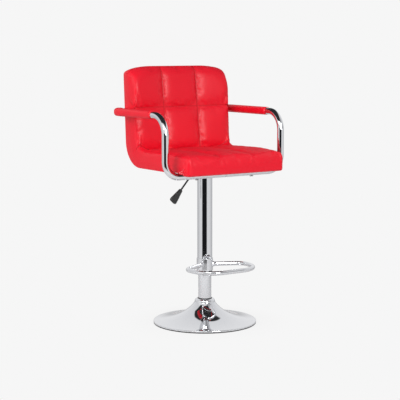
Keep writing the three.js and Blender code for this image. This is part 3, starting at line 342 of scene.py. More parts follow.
# %% Chrome plate
def chrome_plate():
    material, net = finish("chrome_plate")
    ripple = net.noise(34.0, 1.0)
    haze = net.noise(260.0, 4.0)
    wiped = net.noise(90.0, 3.0, (1, 1, 9))
    roughness = 0.035 + haze.between(0.45, 0.8) * 0.03 + wiped.between(0.55, 0.8) * 0.02
    normal = net.bump(ripple, 0.0006, 0.35)
    colour = net.mix(haze.between(0.3, 0.8), (0.70, 0.71, 0.73), (0.76, 0.765, 0.78))
    net.surface(colour, roughness, normal, Metallic=1.0)
    return material


CHROME = told(chrome_plate())

# %% [markdown]
# Leatherette: a printed grain of small pebbles over foam. Its colour is a strong red with a slow
# drift in tone, its pores are a little darker, and drawn-in seams are more matt, with painted
# shade in their grooves. The seams are stored on the mesh as an attribute, so the same finish serves every red
# piece.

# %% Red leatherette
def leatherette():
    material, net = finish("red_leatherette")
    drift = net.noise(9.0, 3.0)
    pores = net.spots(780.0, 0.9).between(0.30, 0.62)
    fine = net.noise(2400.0, 2.0)
    crumple = net.noise(46.0, 4.0, (1, 1, 1), 0.6)
    seam = net.node("ShaderNodeAttribute", {"attribute_name": "seam"}, out=2)
    base = net.mix(drift, (0.760, 0.004, 0.018), (0.810, 0.008, 0.026))
    # painted shade: the red is darkened along the seams, for the shade in their grooves
    base = net.mix(seam * 0.70, base, (0.42, 0.001, 0.005))
    base = net.mix(pores * 0.22, base, (0.55, 0.003, 0.010))
    flat = net.node("ShaderNodeLayerWeight", None, 0.5, out=1).between(0.55, 0.92)
    roughness = 0.30 + drift * 0.06 + pores * 0.08 + seam * 0.12 + flat * 0.34
    rise = crumple * 0.35 + (1 - pores) * 0.10 + fine * 0.02
    normal = net.bump(rise, 0.0006, 0.6)
    net.surface(base, roughness, normal, Specular_IOR_Level=0.32)
    return material


RED = told(leatherette())

# %% [markdown]
# The plain finishes share one pattern: a base colour that drifts a little, a roughness that
# drifts with it, and a fine bump of the right scale. What sets them apart is the scale:
# moulded plastic is fine and even, powder coat has an orange peel, cast iron is coarse.

# %% Plain finishes
def plain_finish(name, dark, light, rough, spread, grain, height, metal=0.0):
    material, net = finish(name)
    drift, grit = net.noise(30.0, 3.0), net.noise(grain, 3.0)
    colour = net.mix(drift, dark, light)
    roughness = rough + drift * spread
    net.surface(colour, roughness, net.bump(grit, height, 0.7), Metallic=metal)
    return material


PLAIN = (
    ("black_plastic", (0.010, 0.010, 0.010), (0.022, 0.022, 0.023), 0.34, 0.14, 1900, 0.0002),
    ("black_powder_coat", (0.012, 0.012, 0.013), (0.024, 0.024, 0.026), 0.30, 0.16, 900, 0.0003),
    ("zinc_plate", (0.50, 0.51, 0.53), (0.66, 0.66, 0.64), 0.26, 0.20, 1200, 0.0001, 1.0),
    ("black_rubber", (0.014, 0.014, 0.014), (0.032, 0.031, 0.030), 0.66, 0.18, 1100, 0.0003),
    ("cast_iron", (0.020, 0.020, 0.021), (0.050, 0.048, 0.046), 0.62, 0.2, 420, 0.0012),
)
BLACK_PLASTIC, POWDER_COAT, ZINC, RUBBER, CAST_IRON = (told(plain_finish(*row)) for row in PLAIN)

# %% [markdown]
# Two finishes have a grain or a pattern of their own. Plywood has long grain, so its noise is
# stretched. The lining is pressed fibre with small welds in a grid: cells without randomness.

# %% Plywood and lining
def veneer():
    """Bent plywood: long grain on the faces."""
    material, net = finish("plywood")
    grain = net.noise(60.0, 6.0, (6, 0.5, 0.5), 0.62)
    figure = net.noise(8.0, 3.0, (3, 0.4, 0.4))
    colour = net.mix(grain, (0.50, 0.33, 0.18), (0.66, 0.48, 0.29))
    colour = net.mix(figure.between(0.4, 0.7) * 0.5, colour, (0.42, 0.26, 0.14))
    net.surface(colour, 0.62 + grain * 0.15, net.bump(grain, 0.0004, 0.6))
    return material


def lining():
    """Non-woven lining: pressed fibres with a grid of small welds."""
    material, net = finish("dust_lining")
    fibre = net.noise(900.0, 4.0, (1, 3, 1), 0.7)
    across = net.noise(900.0, 4.0, (3, 1, 1), 0.7)
    dots = 1 - net.spots(420.0, 0.0).between(0.16, 0.3)
    mat = fibre * 0.5 + across * 0.5
    colour = net.mix(mat, (0.010, 0.010, 0.011), (0.060, 0.060, 0.062))
    rise = mat * (1 - dots)
    net.surface(colour, mat * 0.1 + 0.82, net.bump(rise, 0.0005, 0.8))
    return material


PLYWOOD = told(veneer())
LINING = told(lining())

# %% [markdown]
# Every solid that stays visible takes the finish of its slot in the record.

# %% Finish the solids
FINISHES = {
    "rubber": RUBBER,
    "black_plastic": BLACK_PLASTIC,
    "cast_iron": CAST_IRON,
    "chrome": CHROME,
    "zinc_steel": ZINC,
    "black_steel": POWDER_COAT,
    "plywood": PLYWOOD,
    "red_hide": RED,
    "dust_cloth": LINING,
}

slot_of = {part["node"]: part["material_slot"] for part in frame["record"]["subparts"]}
for name, node in nodes.items():
    node.data.materials.clear()
    node.data.materials.append(FINISHES[slot_of[name]])
print("finished", len(slot_of), "solids with", len(FINISHES), "finishes")

# %% [markdown]
# ## From points to pieces
# Most of the stool is turned or bent. Three helpers cover it: `skin` makes a smooth mesh from
# points and faces, `lathe` turns a profile about the column, and `sweep` carries a round
# section along a path. A modifier could do the last two, but a plain mesh has its final points
# from the start, and the seat's loft uses the same grid of faces.

# %% Skins
def skin(name, points, faces, material, sharp=35):
    mesh = bpy.data.meshes.new(name)
    mesh.from_pydata([tuple(p) for p in points], [], faces)
    mesh.materials.append(material)
    piece = bpy.data.objects.new(name, mesh)
    scene.collection.objects.link(piece)
    tidy(piece, sharp)
    return piece


def tidy(piece, sharp):
    """Merges doubles, turns the faces outwards and shades them smooth up to an angle."""
    work = bmesh.new()
    work.from_mesh(piece.data)
    bmesh.ops.remove_doubles(work, verts=work.verts, dist=1e-6)
    bmesh.ops.recalc_face_normals(work, faces=work.faces)
    work.to_mesh(piece.data)
    work.free()
    piece.data.shade_smooth()
    piece.data.set_sharp_from_angle(angle=math.radians(sharp))


def grid_faces(rows, columns, closed=False):
    """Quads over a grid of points, stored row by row, whose rows are rings."""
    faces = []
    for i in range(rows if closed else rows - 1):
        for k in range(columns):
            a, b = i * columns + k, i * columns + (k + 1) % columns
            shift = ((i + 1) % rows - i) * columns
            faces.append((a, b, b + shift, a + shift))
    return faces


print("a closed grid of 3 by 4 has", len(grid_faces(3, 4, closed=True)), "faces")

# %% [markdown]
# A turned piece starts as a drawing: corners with a radius, a height and a rounding, because a
# real edge is broken and its bright line is what shows. A long straight gets a point near each
# end, or smooth shading would bend over its whole length.

# %% Lathe
def eased(corners, steps=5):
    """A closed outline of (x, y, radius) corners with each corner rounded."""
    points = []
    for i, (x, y, *radius) in enumerate(corners):
        here = Vector((x, y))
        if not radius or radius[0] <= 0:
            points.append(tuple(here))
            continue
        before = Vector(corners[i - 1][:2]) - here
        after = Vector(corners[(i + 1) % len(corners)][:2]) - here
        half = before.angle(after) / 2
        reach = radius[0] / math.tan(half)
        to_before, to_after = before.normalized(), after.normalized()
        start, end = here + to_before * reach, here + to_after * reach
        middle = here + (to_before + to_after).normalized() * radius[0] / math.sin(half)
        low, high = start - middle, end - middle
        turn = low.angle_signed(high)
        for k in range(steps + 1):
            arm = Matrix.Rotation(-turn * k / steps, 2) @ low
            points.append(tuple(middle + arm))
    return points


def guarded(profile, guard=0.5, long=12):
    """Adds a point near each end of a long straight, so that its shading stays straight too."""
    points = []
    for a, b in zip(profile, profile[1:] + profile[:1]):
        a, b = Vector(a), Vector(b)
        points.append(a)
        if (b - a).length > long:
            step = (b - a).normalized() * guard
            points += [a + step, b - step]
    return points


def lathe(name, corners, material, sides=96):
    """A closed (radius, height, rounding) profile in millimetres, turned about the column."""
    profile = guarded(eased(corners))
    points = []
    for r, z in profile:
        for k in range(sides):
            angle = 2 * math.pi * k / sides
            points.append((r * math.cos(angle) * MM, r * math.sin(angle) * MM, z * MM))
    return skin(name, points, grid_faces(len(profile), sides, closed=True), material)


print("a square with one round corner has", len(eased([(0, 0), (9, 0, 2), (9, 9), (0, 9)])), "points")

# %% [markdown]
# A bent tube is straight runs joined by round bends, so its path is a few corners with a bend
# radius each. The section is carried along without a twist.

# %% Bent paths and sweeps
def bent_path(corners, steps=12, guard=0.002):
    """Points and directions along straight runs joined by round bends, from (point, radius)."""
    stations = []
    for i, (corner, radius) in enumerate(corners):
        into = (corner - corners[i - 1][0]).normalized() if i else None
        out = (corners[i + 1][0] - corner).normalized() if i + 1 < len(corners) else None
        if not radius:
            stations.append((corner.copy(), (out or into).copy()))
            continue
        turn = into.angle(out)
        axis = into.cross(out).normalized()
        start = corner - into * radius * math.tan(turn / 2)
        arm = into.cross(axis) * radius
        middle = start - arm
        stations.append((start - into * guard, into.copy()))
        for k in range(steps + 1):
            spin = Matrix.Rotation(turn * k / steps, 3, axis)
            stations.append((middle + spin @ arm, spin @ into))
        stations.append((stations[-1][0] + out * guard, out.copy()))
    return stations


def round_ring(radius, sides=40):
    turns = [2 * math.pi * k / sides for k in range(sides)]
    return [(radius * math.cos(a), radius * math.sin(a)) for a in turns]


def sweep(name, stations, section, material, lift=(0, 0, 1)):
    """Carries a ring along a path. section(i) gives station i's ring of (aside, up) points."""
    rings, sides = [], None
    up = Vector(lift)
    before = None
    for i, (at, along) in enumerate(stations):
        if before is None:
            aside = up.cross(along).normalized()
        else:
            aside = before.rotation_difference(along) @ aside
        before = along
        over = along.cross(aside).normalized()
        ring = section(i)
        rings += [at + aside * a + over * b for a, b in ring]
        sides = len(ring)
    count = len(stations)
    faces = grid_faces(count, sides)
    faces += [tuple(range(sides)), tuple(range((count - 1) * sides, count * sides))]
    return skin(name, rings, faces, material)


print("sweeps ready")

# %% [markdown]
# A finished piece takes the place of its solids and rides on their body.

# %% Keep a piece
def keep(piece, body, slot, *replaced):
    """Puts a finished piece on its body, in place of the solids that it stands for."""
    if replaced:
        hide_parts(*replaced)
    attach(piece, body)
    print(f"{piece.name}: {len(piece.data.polygons)} faces on {body}")


# %% [markdown]
# ## The base
# The base is a steel disc, spun over a form to a trumpet and plated. Its outline is one smooth
# curve from the rim to the neck, so it is a lathe of many points with a rolled rim: the curve's
# reflections show every flat spot. Under the rim sits a rubber ring.

# %% Trumpet base
BASE_RADIUS = 192.5
BASE_WALL = 1.6
NECK_RADIUS = 28.0
NECK_HEIGHT = 92.0
RIM_FOOT = 3.8
RIM_TOP = 8.8
NECK_SHOULDER = 38.5
NECK_TURN = 12.2
TRUMPET = [(1, 0), (0.213, 0.116), (0, 0.975), (0, 1)]


def bezier(controls, share):
    points = [Vector(c) for c in controls]
    while len(points) > 1:
        points = [a.lerp(b, share) for a, b in zip(points, points[1:])]
    return points[0]


def trumpet_profile(cells=48, turns=12):
    shoulder = NECK_HEIGHT - NECK_TURN
    reach, rise = BASE_RADIUS - NECK_SHOULDER, shoulder - RIM_TOP
    curve = [bezier(TRUMPET, k / cells) for k in range(cells + 1)]
    outer = [(NECK_SHOULDER + p.x * reach, RIM_TOP + p.y * rise) for p in curve]
    for k in range(1, turns + 1):
        angle = math.pi / 2 * k / turns
        inward = (NECK_SHOULDER - NECK_RADIUS) * math.cos(angle)
        outer.append((NECK_RADIUS + inward, shoulder + NECK_TURN * math.sin(angle)))
    inner = []
    for k, (r, z) in enumerate(outer):
        before, after = Vector(outer[max(k - 1, 0)]), Vector(outer[min(k + 1, len(outer) - 1)])
        along = (after - before).normalized()
        inner.append((r - abs(along.y) * BASE_WALL, z - abs(along.x) * BASE_WALL))
    bore = NECK_RADIUS - BASE_WALL
    inner[0] = (BASE_RADIUS - BASE_WALL, RIM_TOP - BASE_WALL)
    inner[-1] = (bore, NECK_HEIGHT - BASE_WALL)
    rim = [(BASE_RADIUS - BASE_WALL, RIM_FOOT), (BASE_RADIUS, RIM_FOOT, 0.3)]
    roll = [(BASE_RADIUS, RIM_TOP + 0.05, 1.9)]
    return rim + roll + outer[1:] + [(bore, NECK_HEIGHT, 0.4)] + inner[::-1]


base = lathe("trumpet_base", trumpet_profile(), CHROME, sides=192)
keep(base, "base", "chrome", "base_shell")

RING_INNER = BASE_RADIUS - 12
foot_ring = lathe("rubber_foot_ring", [
    (RING_INNER, 0, 0.8), (BASE_RADIUS - 0.3, 0, 1.1), (BASE_RADIUS - 0.3, RIM_FOOT - 0.3, 0.5),
    (BASE_RADIUS - 1.9, RIM_FOOT - 0.3, 0.2), (BASE_RADIUS - 3.5, 6.7, 0.5), (RING_INNER, 6.7, 0.6),
], RUBBER, sides=144)
keep(foot_ring, "base", "rubber", "base_rubber_ring")

# %% [markdown]
# ## The column
# Three turned parts show: the fixed tube, the sleeve that rides on it with the seat, and a black
# bush at the sleeve's lower end. Their edges are broken by half a millimetre, because a cut tube
# is deburred and its bright edge line is what makes it read as steel.

# %% Tubes and bushes
FOOT_TOP = 16.3
TUBE_RADIUS = 24.5
SLEEVE_RADIUS = 28.0
low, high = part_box("lower_tube")
tube_top = high.z / MM
tube = lathe("fixed_tube", [
    (5.4, FOOT_TOP - 5), (60, FOOT_TOP - 5, 0.6), (60, FOOT_TOP, 0.6), (27, FOOT_TOP, 1.5),
    (TUBE_RADIUS, FOOT_TOP + 3, 1), (TUBE_RADIUS, tube_top, 0.5), (22, tube_top, 0.5), (22, FOOT_TOP),
    (5.4, FOOT_TOP),
], CHROME)
keep(tube, "base", "chrome", "lower_tube")

low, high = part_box("upper_sleeve")
sleeve_low, sleeve_top = low.z / MM, high.z / MM
sleeve = lathe("chrome_sleeve", [
    (26.2, sleeve_low, 0.4), (SLEEVE_RADIUS, sleeve_low, 0.6), (SLEEVE_RADIUS, sleeve_top, 0.6),
    (26.2, sleeve_top, 0.4),
], CHROME)
keep(sleeve, "seat", "chrome", "upper_sleeve")

low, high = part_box("sleeve_end_bush")
bush_low = low.z / MM
bush = lathe("end_bush", [
    (24.9, bush_low, 0.6), (27.4, bush_low, 1.6), (SLEEVE_RADIUS, bush_low + 3, 1.2),
    (SLEEVE_RADIUS, sleeve_low - 0.3, 0.3), (25.9, sleeve_low - 0.3), (25.9, sleeve_low + 17.7, 0.5),
    (24.9, sleeve_low + 17.7, 0.5),
], BLACK_PLASTIC)
keep(bush, "seat", "black_plastic", "sleeve_end_bush")

neck_seat = NECK_HEIGHT + 0.3
neck = lathe("neck_collar", [
    (24.8, neck_seat - 14), (26.1, neck_seat - 14), (26.1, neck_seat), (27.2, neck_seat),
    (27.2, neck_seat + 1, 0.6), (26.4, neck_seat + 2, 0.6), (24.8, neck_seat + 2, 0.3),
], BLACK_PLASTIC)
keep(neck, "base", "black_plastic", "neck_ring")

# %% [markdown]
# ## The footrest
# A 16 mm tube, bent to a rounded trapezium and welded to a collar on the sleeve. The path is a
# handful of corners with a bend radius each. Where the tube meets the collar it flares out a
# little: that is the weld, ground smooth and plated over.

# %% Footrest loop and collar
low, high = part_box("footrest")
rest_z = (low.z + high.z) / 2
REST_TUBE = 0.008
WELD_START, WELD_GROWTH = 0.0064, 0.0022
WELD = ((0.0, WELD_GROWTH), (0.0025, 0.0012), (0.006, 0.0003), (0.010, 0.0))
REST_CORNERS = [((0.0225, -0.0153), 0), ((0.128, -0.066), 0.038), ((0.116, -0.192), 0.085)]


def footrest_path():
    right, left = (
        [(Vector((side * x, y, rest_z)), bend) for (x, y), bend in REST_CORNERS] for side in (-1, 1)
    )
    return bent_path(right + left[::-1], 16)


def welded(stations):
    """Adds stations near both ends, with the extra radius that the weld has there."""
    (first, into), (last, out) = stations[0], stations[-1]
    start = [(first + into * (WELD_START + run), into, grow) for run, grow in WELD]
    end = [(last - out * (WELD_START + run), out, grow) for run, grow in WELD]
    inner = [(at, along, 0.0) for at, along in stations[1:-1]]
    return [(first, into, WELD_GROWTH), *start, *inner, *end[::-1], (last, out, WELD_GROWTH)]


route = welded(footrest_path())
loop = sweep("footrest_loop", [(at, along) for at, along, _ in route],
             lambda i: round_ring(REST_TUBE + route[i][2], 32), CHROME)
foot, top = low.z / MM, high.z / MM
collar = lathe("footrest_collar", [
    (28.3, foot, 0.3), (30.5, foot, 0.7), (30.5, top, 0.9), (28.3, top, 0.3),
], CHROME)
keep(loop, "seat", "chrome", "footrest")
keep(collar, "seat", "chrome")

# %% [markdown]
# ## The arm loop
# One 25 mm tube goes under the seat, up both sides, back as arms and across behind the back.
# Its two ends are butted together under the seat, so the sweep starts and stops there.

# %% Arm tube
ARM_TUBE, ARM_HALF, ARM_FRONT = 0.0125, 0.253, -0.128
UNDER_BEND, FRONT_BEND, REAR_BEND = 0.056, 0.068, 0.060
ARM_JOINT = 0.0004
low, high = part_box("arm_frame")
ARM_UNDER = low.z + ARM_TUBE
ARM_TOP = high.z - ARM_TUBE
ARM_REAR = high.y - ARM_TUBE


def arm_corners(side):
    return [
        (Vector((side * ARM_JOINT, ARM_FRONT, ARM_UNDER)), 0),
        (Vector((side * ARM_HALF, ARM_FRONT, ARM_UNDER)), UNDER_BEND),
        (Vector((side * ARM_HALF, ARM_FRONT, ARM_TOP)), FRONT_BEND),
        (Vector((side * ARM_HALF, ARM_REAR, ARM_TOP)), REAR_BEND),
    ]


arm_route = bent_path(arm_corners(1) + arm_corners(-1)[::-1], 20)
arm = sweep("arm_tube", arm_route, lambda i: round_ring(ARM_TUBE, 48), CHROME)
keep(arm, "seat", "chrome", "arm_frame")

# %% [markdown]
# ## Seat and back
# The upholstery is one quilted skin over foam on a bent plywood shell: three panels wide, with
# two rows up the back and long panels along the seat. Its rule is a side view that changes across:
# crowned between the seams, drawn in on them, rolled over at the sides. So the skin is lofted from
# side views, each an inner line (crest, front of the back, crease, seat, front edge) and an outer
# line (rear, corner, underside), and the two lines also carry the side panels between them.

# %% The side view's sizes, in millimetres
SEAT_HALF, SEAT_FRONT, SEAT_UNDER = 211.0, 208.0, 584.0
CORNER, CORNER_Y, LEAN = 100.0, 122.0, math.radians(3)
CORNER_Z = SEAT_UNDER + CORNER
BACK_TOP = SEAT_UNDER + 371.0
CREASE = Vector((138.0, SEAT_UNDER + 71.0))
ROW_Z = CREASE.y + 0.495 * (BACK_TOP - CREASE.y)
SEAM_X, SEAM_DEPTH, SQUARE = 75.0, 9.0, 3.0
SEAT_ARCH, SEAT_FALL, CROWN_SHARE = -1.0, 7.0, 0.65
SEAT_ROLL, FOOT_ROLL, SEAT_CORNER, FRONT_CROWN = 18.0, 9.0, 18.0, 3.0
FRONT_LIP, LIP_WIDTH, LIP_SLOPE = 7.5, 5.0, 4.0
LEAN_RUN, WRAP, BACK_ROLL, CREST_Y = 36.0, 0.7, 45.0, 203.0
SIDE_ROLL, REAR_ROLL, SIDE_BULGE, INSET = 15.0, 5.0, 2.5, 2.3
BRIDGE, BRIDGE_X, BRIDGE_REACH = 24.0, 60.0, 52.0
CREST_CORNER, FACE_CORNER, LIP_CORNER, UNDER_ROLL = (105, 25), (82, 112), (12, 4), 2
SIDE_HANG, HANG_FROM, HANG_RUN = 4.0, 203, 5
ARM_CLEAR, CLEAR_RUN = 15, 10
CUT = Vector((CREASE.x - CORNER_Y, CREASE.y - CORNER_Z)).normalized()
print("crease at", tuple(CREASE), "row seam at", ROW_Z)

# %% [markdown]
# Two curves do most of the work. `full` says how far a panel stands out between two seams: steep
# at the seam and flat in the middle, as tight foam is. `from_edge` says how far a rounded edge has
# dropped at a place across the width, and rounds the plan, the crest and the lip alike.

# %% Full panels and rounded edges
def clamp(value, low=0.0, high=1.0):
    return max(low, min(high, value))


def full(share):
    """How full a panel is between two seams."""
    return math.sqrt(max(0.0, 1 - abs(2 * share - 1) ** SQUARE))


def half_full(share):
    return full(min(share, 1.0) / 2)


def from_edge(x, reach, drop):
    """How far a rounded edge has dropped at x."""
    share = clamp((abs(x) - (SEAT_HALF - reach)) / reach)
    return drop * (1 - math.sqrt(1 - share * share))


def full_across(x):
    past = abs(x) - SEAM_X
    if past < 0:
        return full((x + SEAM_X) / (2 * SEAM_X))
    return half_full(past / (SEAT_HALF - SEAM_X))


def crest_z(x):
    return BACK_TOP - from_edge(x, *CREST_CORNER)


def front_y(x):
    return from_edge(x, SEAT_CORNER, SEAT_CORNER) - SEAT_FRONT


def rear_y(z, inset):
    turn_z = CORNER_Z - (CORNER - inset) * math.sin(LEAN)
    turn_y = CORNER_Y + (CORNER - inset) * math.cos(LEAN)
    return turn_y + (z - turn_z) * math.tan(LEAN)


def bridge(x, past):
    """Near the sides the cover stands off the crease, forwards and upwards."""
    share = clamp((abs(x) - SEAT_HALF + SIDE_ROLL) / BRIDGE_X + 1)
    stand = BRIDGE * share * share * max(0.0, 1 - past / BRIDGE_REACH) ** 2
    return stand * CUT.x, -stand * CUT.y


print(f"crest {crest_z(0):.0f} in the middle and {crest_z(SEAT_HALF):.0f} at its ends")

# %% [markdown]
# The inner line has a fixed number of cells for each stretch, so that a seam is a row of points
# from one side to the other. The outer line has as many cells in all, and point by point they
# pair up: the crest with the crest, the crease with the corner, the front edge with itself.
# The seat's two seams fade out before the front edge, which is one full roll from side to side.

# %% Inner line
ROW_CELLS, CREST_CELLS, ROLL_CELLS, FACE_CELLS = 26, 12, 9, 5
LINE_CELLS = CREST_CELLS + 4 * ROW_CELLS + ROLL_CELLS + FACE_CELLS
SEAM_END = 0.86


def runs(cells, grade=0.0):
    """Shares from 0 to 1, without 0, drawn towards both ends by a grade."""
    steps = [(k + 1) / cells for k in range(cells)]
    return [s * (1 - grade) + grade * (1 - math.cos(math.pi * s)) / 2 for s in steps]


def front_lip(x):
    """The height of the front edge, which hangs below the underside and rises at its corners."""
    return SEAT_UNDER - FRONT_LIP + from_edge(x, *LIP_CORNER)


def filled(across, share):
    """The seat's seams end before the front edge, where the cover is one full roll."""
    end = clamp((share - SEAM_END) / (1 - SEAM_END))
    return across + (1 - across) * end * end * (3 - 2 * end)


def face_y(x, share):
    """The front face, crowned across and from top to bottom."""
    crown = FRONT_CROWN * (1 - (x / SEAT_HALF) ** 2) * math.sin(math.pi * clamp(share))
    return front_y(x) - crown


def inner_line(x):
    roll, across = from_edge(x, SIDE_ROLL, SIDE_ROLL), full_across(x)
    start = CREASE + CUT * (SEAM_DEPTH + roll) * math.sqrt(2)
    off_y, off_z = bridge(x, 0)
    crest = crest_z(x)
    edge_z = BACK_TOP - BACK_ROLL - from_edge(x, *FACE_CORNER)
    lean = LEAN_RUN * (1 - WRAP * (x / SEAT_HALF) ** 2)
    edge_y = start.x + lean * (edge_z - start.y) / (BACK_TOP - BACK_ROLL - CREASE.y)

    def back(z, rows):
        y = start.x + (z - start.y) / (edge_z - start.y) * (edge_y - start.x)
        return y - SEAM_DEPTH * across * rows - bridge(x, z - start.y - off_z)[0], z

    face = edge_y - SEAM_DEPTH * across
    fold = 1 / (0.72 + 0.33 * across)
    line = [(CREST_Y, crest)]
    # over the crest
    for share in runs(CREST_CELLS):
        angle = math.pi / 2 * (1 - share)
        forward, upward = abs(math.cos(angle)) ** fold, abs(math.sin(angle)) ** fold
        line.append((CREST_Y - (CREST_Y - face) * forward, edge_z + (crest - edge_z) * upward))
    # the back's upper and lower row
    for share in runs(ROW_CELLS, 0.5):
        line.append(back(edge_z + share * (ROW_Z - edge_z), half_full(1 - share)))
    low = start.y + off_z
    for share in runs(ROW_CELLS, 0.5):
        line.append(back(ROW_Z + share * (low - ROW_Z), full(1 - share)))
    # the seat's long panel
    edge = front_y(x) + SEAT_ROLL
    for share in runs(2 * ROW_CELLS, 0.3):
        rise = 1 - max(0.0, 1 - share / CROWN_SHARE) ** 2
        fall = SEAT_FALL * max(0.0, (share - CROWN_SHARE) / (1 - CROWN_SHARE)) ** 2
        crown = SEAM_DEPTH * filled(across, share) + SEAT_ARCH
        past = share * (start.x - off_y - edge)
        line.append((start.x - off_y - past, start.y + crown * rise - fall + bridge(x, past)[1]))
    # the front roll and the upper half of the front face
    top = start.y + crown - SEAT_FALL
    for share in runs(ROLL_CELLS):
        angle = math.pi / 2 * (1 + share)
        z = top - SEAT_ROLL + SEAT_ROLL * math.sin(angle)
        line.append((edge + SEAT_ROLL * math.cos(angle), z))
    foot = front_lip(x) + FOOT_ROLL
    middle = (top - SEAT_ROLL + foot) / 2
    for share in runs(FACE_CELLS):
        line.append((face_y(x, share / 2), top - SEAT_ROLL + share * (middle - top + SEAT_ROLL)))
    return line


print(LINE_CELLS, "cells along each line")

# %% [markdown]
# The outer line goes down the rear, round the corner of the shell and forwards under the seat.
# At the front it drops over a small lip that hides the arm tube, and climbs the front face to
# meet the inner line halfway. On a real seat this is where the cover is pulled round and stapled.

# %% Outer line
OUTER_CELLS = {"rear_edge": 7, "rear": 44, "corner": 24, "lip": 3, "foot": 5, "face": 3}
UNDER_CELLS = LINE_CELLS - sum(OUTER_CELLS.values())
REAR_EDGE = 8


def under_inset(x, y):
    """How far the underside stands in: the side edges hang down, but clear the arm tube."""
    hang = SIDE_HANG * clamp((abs(x) - HANG_FROM) / HANG_RUN)
    clear = clamp((abs(y - ARM_FRONT / MM) - ARM_CLEAR) / CLEAR_RUN)
    return INSET + from_edge(x, UNDER_ROLL, UNDER_ROLL) - hang * clear


def outer_line(x, middle):
    inset = INSET + from_edge(x, REAR_ROLL, REAR_ROLL)
    turned = under_inset(x, CORNER_Y)
    crest = crest_z(x)
    rear_z = crest - REAR_EDGE - (inset - INSET)
    reach = rear_y(rear_z, inset) - CREST_Y
    line = [(CREST_Y, crest)]
    # down the rear and round the shell's corner
    for share in runs(OUTER_CELLS["rear_edge"]):
        angle = math.pi / 2 * share
        line.append((CREST_Y + reach * math.sin(angle), rear_z + (crest - rear_z) * math.cos(angle)))
    turn_z = CORNER_Z - (CORNER - inset) * math.sin(LEAN)
    for share in runs(OUTER_CELLS["rear"]):
        z = rear_z + share * (turn_z - rear_z)
        line.append((rear_y(z, inset), z))
    for share in runs(OUTER_CELLS["corner"]):
        angle = -LEAN - share * (math.pi / 2 - LEAN)
        radius = CORNER - inset + share * (inset - turned)
        line.append((CORNER_Y + radius * math.cos(angle), CORNER_Z + radius * math.sin(angle)))
    # along the underside, over the lip and up the lower half of the front face
    front, lip = front_y(x), front_lip(x)
    lip_rear = front + FOOT_ROLL + LIP_WIDTH
    for share in runs(UNDER_CELLS):
        y = CORNER_Y + share * (lip_rear + LIP_SLOPE - CORNER_Y)
        line.append((y, SEAT_UNDER + under_inset(x, y)))
    under = line[-1][1]
    for share in runs(OUTER_CELLS["lip"]):
        line.append((lip_rear + LIP_SLOPE * (1 - share), under + share * (lip - under)))
    for share in runs(OUTER_CELLS["foot"]):
        angle = math.pi * (1.5 - share / 2)
        z = lip + FOOT_ROLL + FOOT_ROLL * math.sin(angle)
        line.append((front + FOOT_ROLL + FOOT_ROLL * math.cos(angle), z))
    for share in runs(OUTER_CELLS["face"]):
        line.append((face_y(x, share / 2), lip + FOOT_ROLL + share * (middle - lip - FOOT_ROLL)))
    return line


print(UNDER_CELLS, "of them along the underside")

# %% [markdown]
# Now the loft. The stations across the width crowd together at the seams and over the rolled
# sides. How near a point lies to a seam will be stored with it, because the finish paints shade
# into the seams' grooves there and is more matt.

# %% Stations across the width
def stations():
    middle = [-SEAM_X + 2 * SEAM_X * s for s in runs(24, 0.55)][:-1]
    out = [SEAM_X + s * (SEAT_HALF - SIDE_ROLL - SEAM_X) for s in [0.0, *runs(18, 0.4)]]
    out += [SEAT_HALF - SIDE_ROLL * (1 - math.sin(math.pi / 2 * s)) for s in runs(6)]
    return [-x for x in out[::-1]] + middle + out


SIDE_CELLS, SIDE_BULGE_FROM = 9, 0.03
SEAM_ROWS = (CREST_CELLS + ROW_CELLS, CREST_CELLS + 2 * ROW_CELLS)
SEAM_LAST = SEAM_ROWS[1] + round(2 * ROW_CELLS * SEAM_END)
SEAM_WIDTH, SEAM_FADE = 2.6, 4


def from_seam_row(i):
    return min(abs(i - row) for row in SEAM_ROWS)


# This share darkens the leatherette as painted shade in the seam's groove.
def seam_share(x, i):
    """Close to 1 on a seam, fading out within a few millimetres of it."""
    row = from_seam_row(i) * 3.0 + 1.2
    column = abs(abs(x) - SEAM_X) + 9.0 * clamp((i - SEAM_LAST) / SEAM_FADE)
    return math.exp(-((min(row, column) / SEAM_WIDTH) ** 2))


print(len(stations()), "stations")

# %% [markdown]
# Each side panel is a grid between the two lines of the last side view, crowned a little. The
# lines meet at the crest and at the front, so the grid's last cells there are triangles.

# %% Loft the skin
def side_rows(points, first, side, ring):
    """Rows of point numbers from line to line of the last side view. Adds the points between."""
    edge = [Vector(points[first + i]) for i in range(ring)]
    rows = []
    for i in range(LINE_CELLS + 1):
        near, far = i, (ring - i) % ring
        if near == far:
            rows.append([first + near] * (SIDE_CELLS + 1))
            continue
        full_width = min(1.0, (edge[near] - edge[far]).length / SIDE_BULGE_FROM)
        row = [first + near]
        for k in range(1, SIDE_CELLS):
            share = k / SIDE_CELLS
            at = edge[near].lerp(edge[far], share)
            crown = SIDE_BULGE * math.sin(math.pi * share) * full_width
            row.append(len(points))
            points.append((at.x + side * crown * MM, at.y, at.z))
        rows.append([*row, first + far])
    return rows


def upholstery():
    points, seams = [], []
    places = stations()
    ring = 2 * LINE_CELLS
    for x in places:
        inner = inner_line(x)
        outer = outer_line(x, inner[-1][1])
        line = inner[:-1] + outer[:0:-1]
        points += [(x * MM, y * MM, z * MM) for y, z in line]
        seams += [seam_share(x, i) if i < LINE_CELLS else 0.0 for i in range(ring)]
    faces = grid_faces(len(places), ring)
    for end, side in ((0, -1), (len(places) - 1, 1)):
        rows = side_rows(points, end * ring, side, ring)
        for a, b in zip(rows, rows[1:]):
            for k in range(SIDE_CELLS):
                corners = tuple(dict.fromkeys((a[k], a[k + 1], b[k + 1], b[k])))
                if len(corners) > 2:
                    faces.append(corners)
    seams += [0.0] * (len(points) - len(seams))
    piece = skin("seat_upholstery", points, faces, RED, sharp=180)
    mark = piece.data.attributes.new("seam", "FLOAT", "POINT")
    mark.data.foreach_set("value", seams)
    return piece, places, ring


hide, places, ring_size = upholstery()
print("lofted", len(hide.data.vertices), "points")

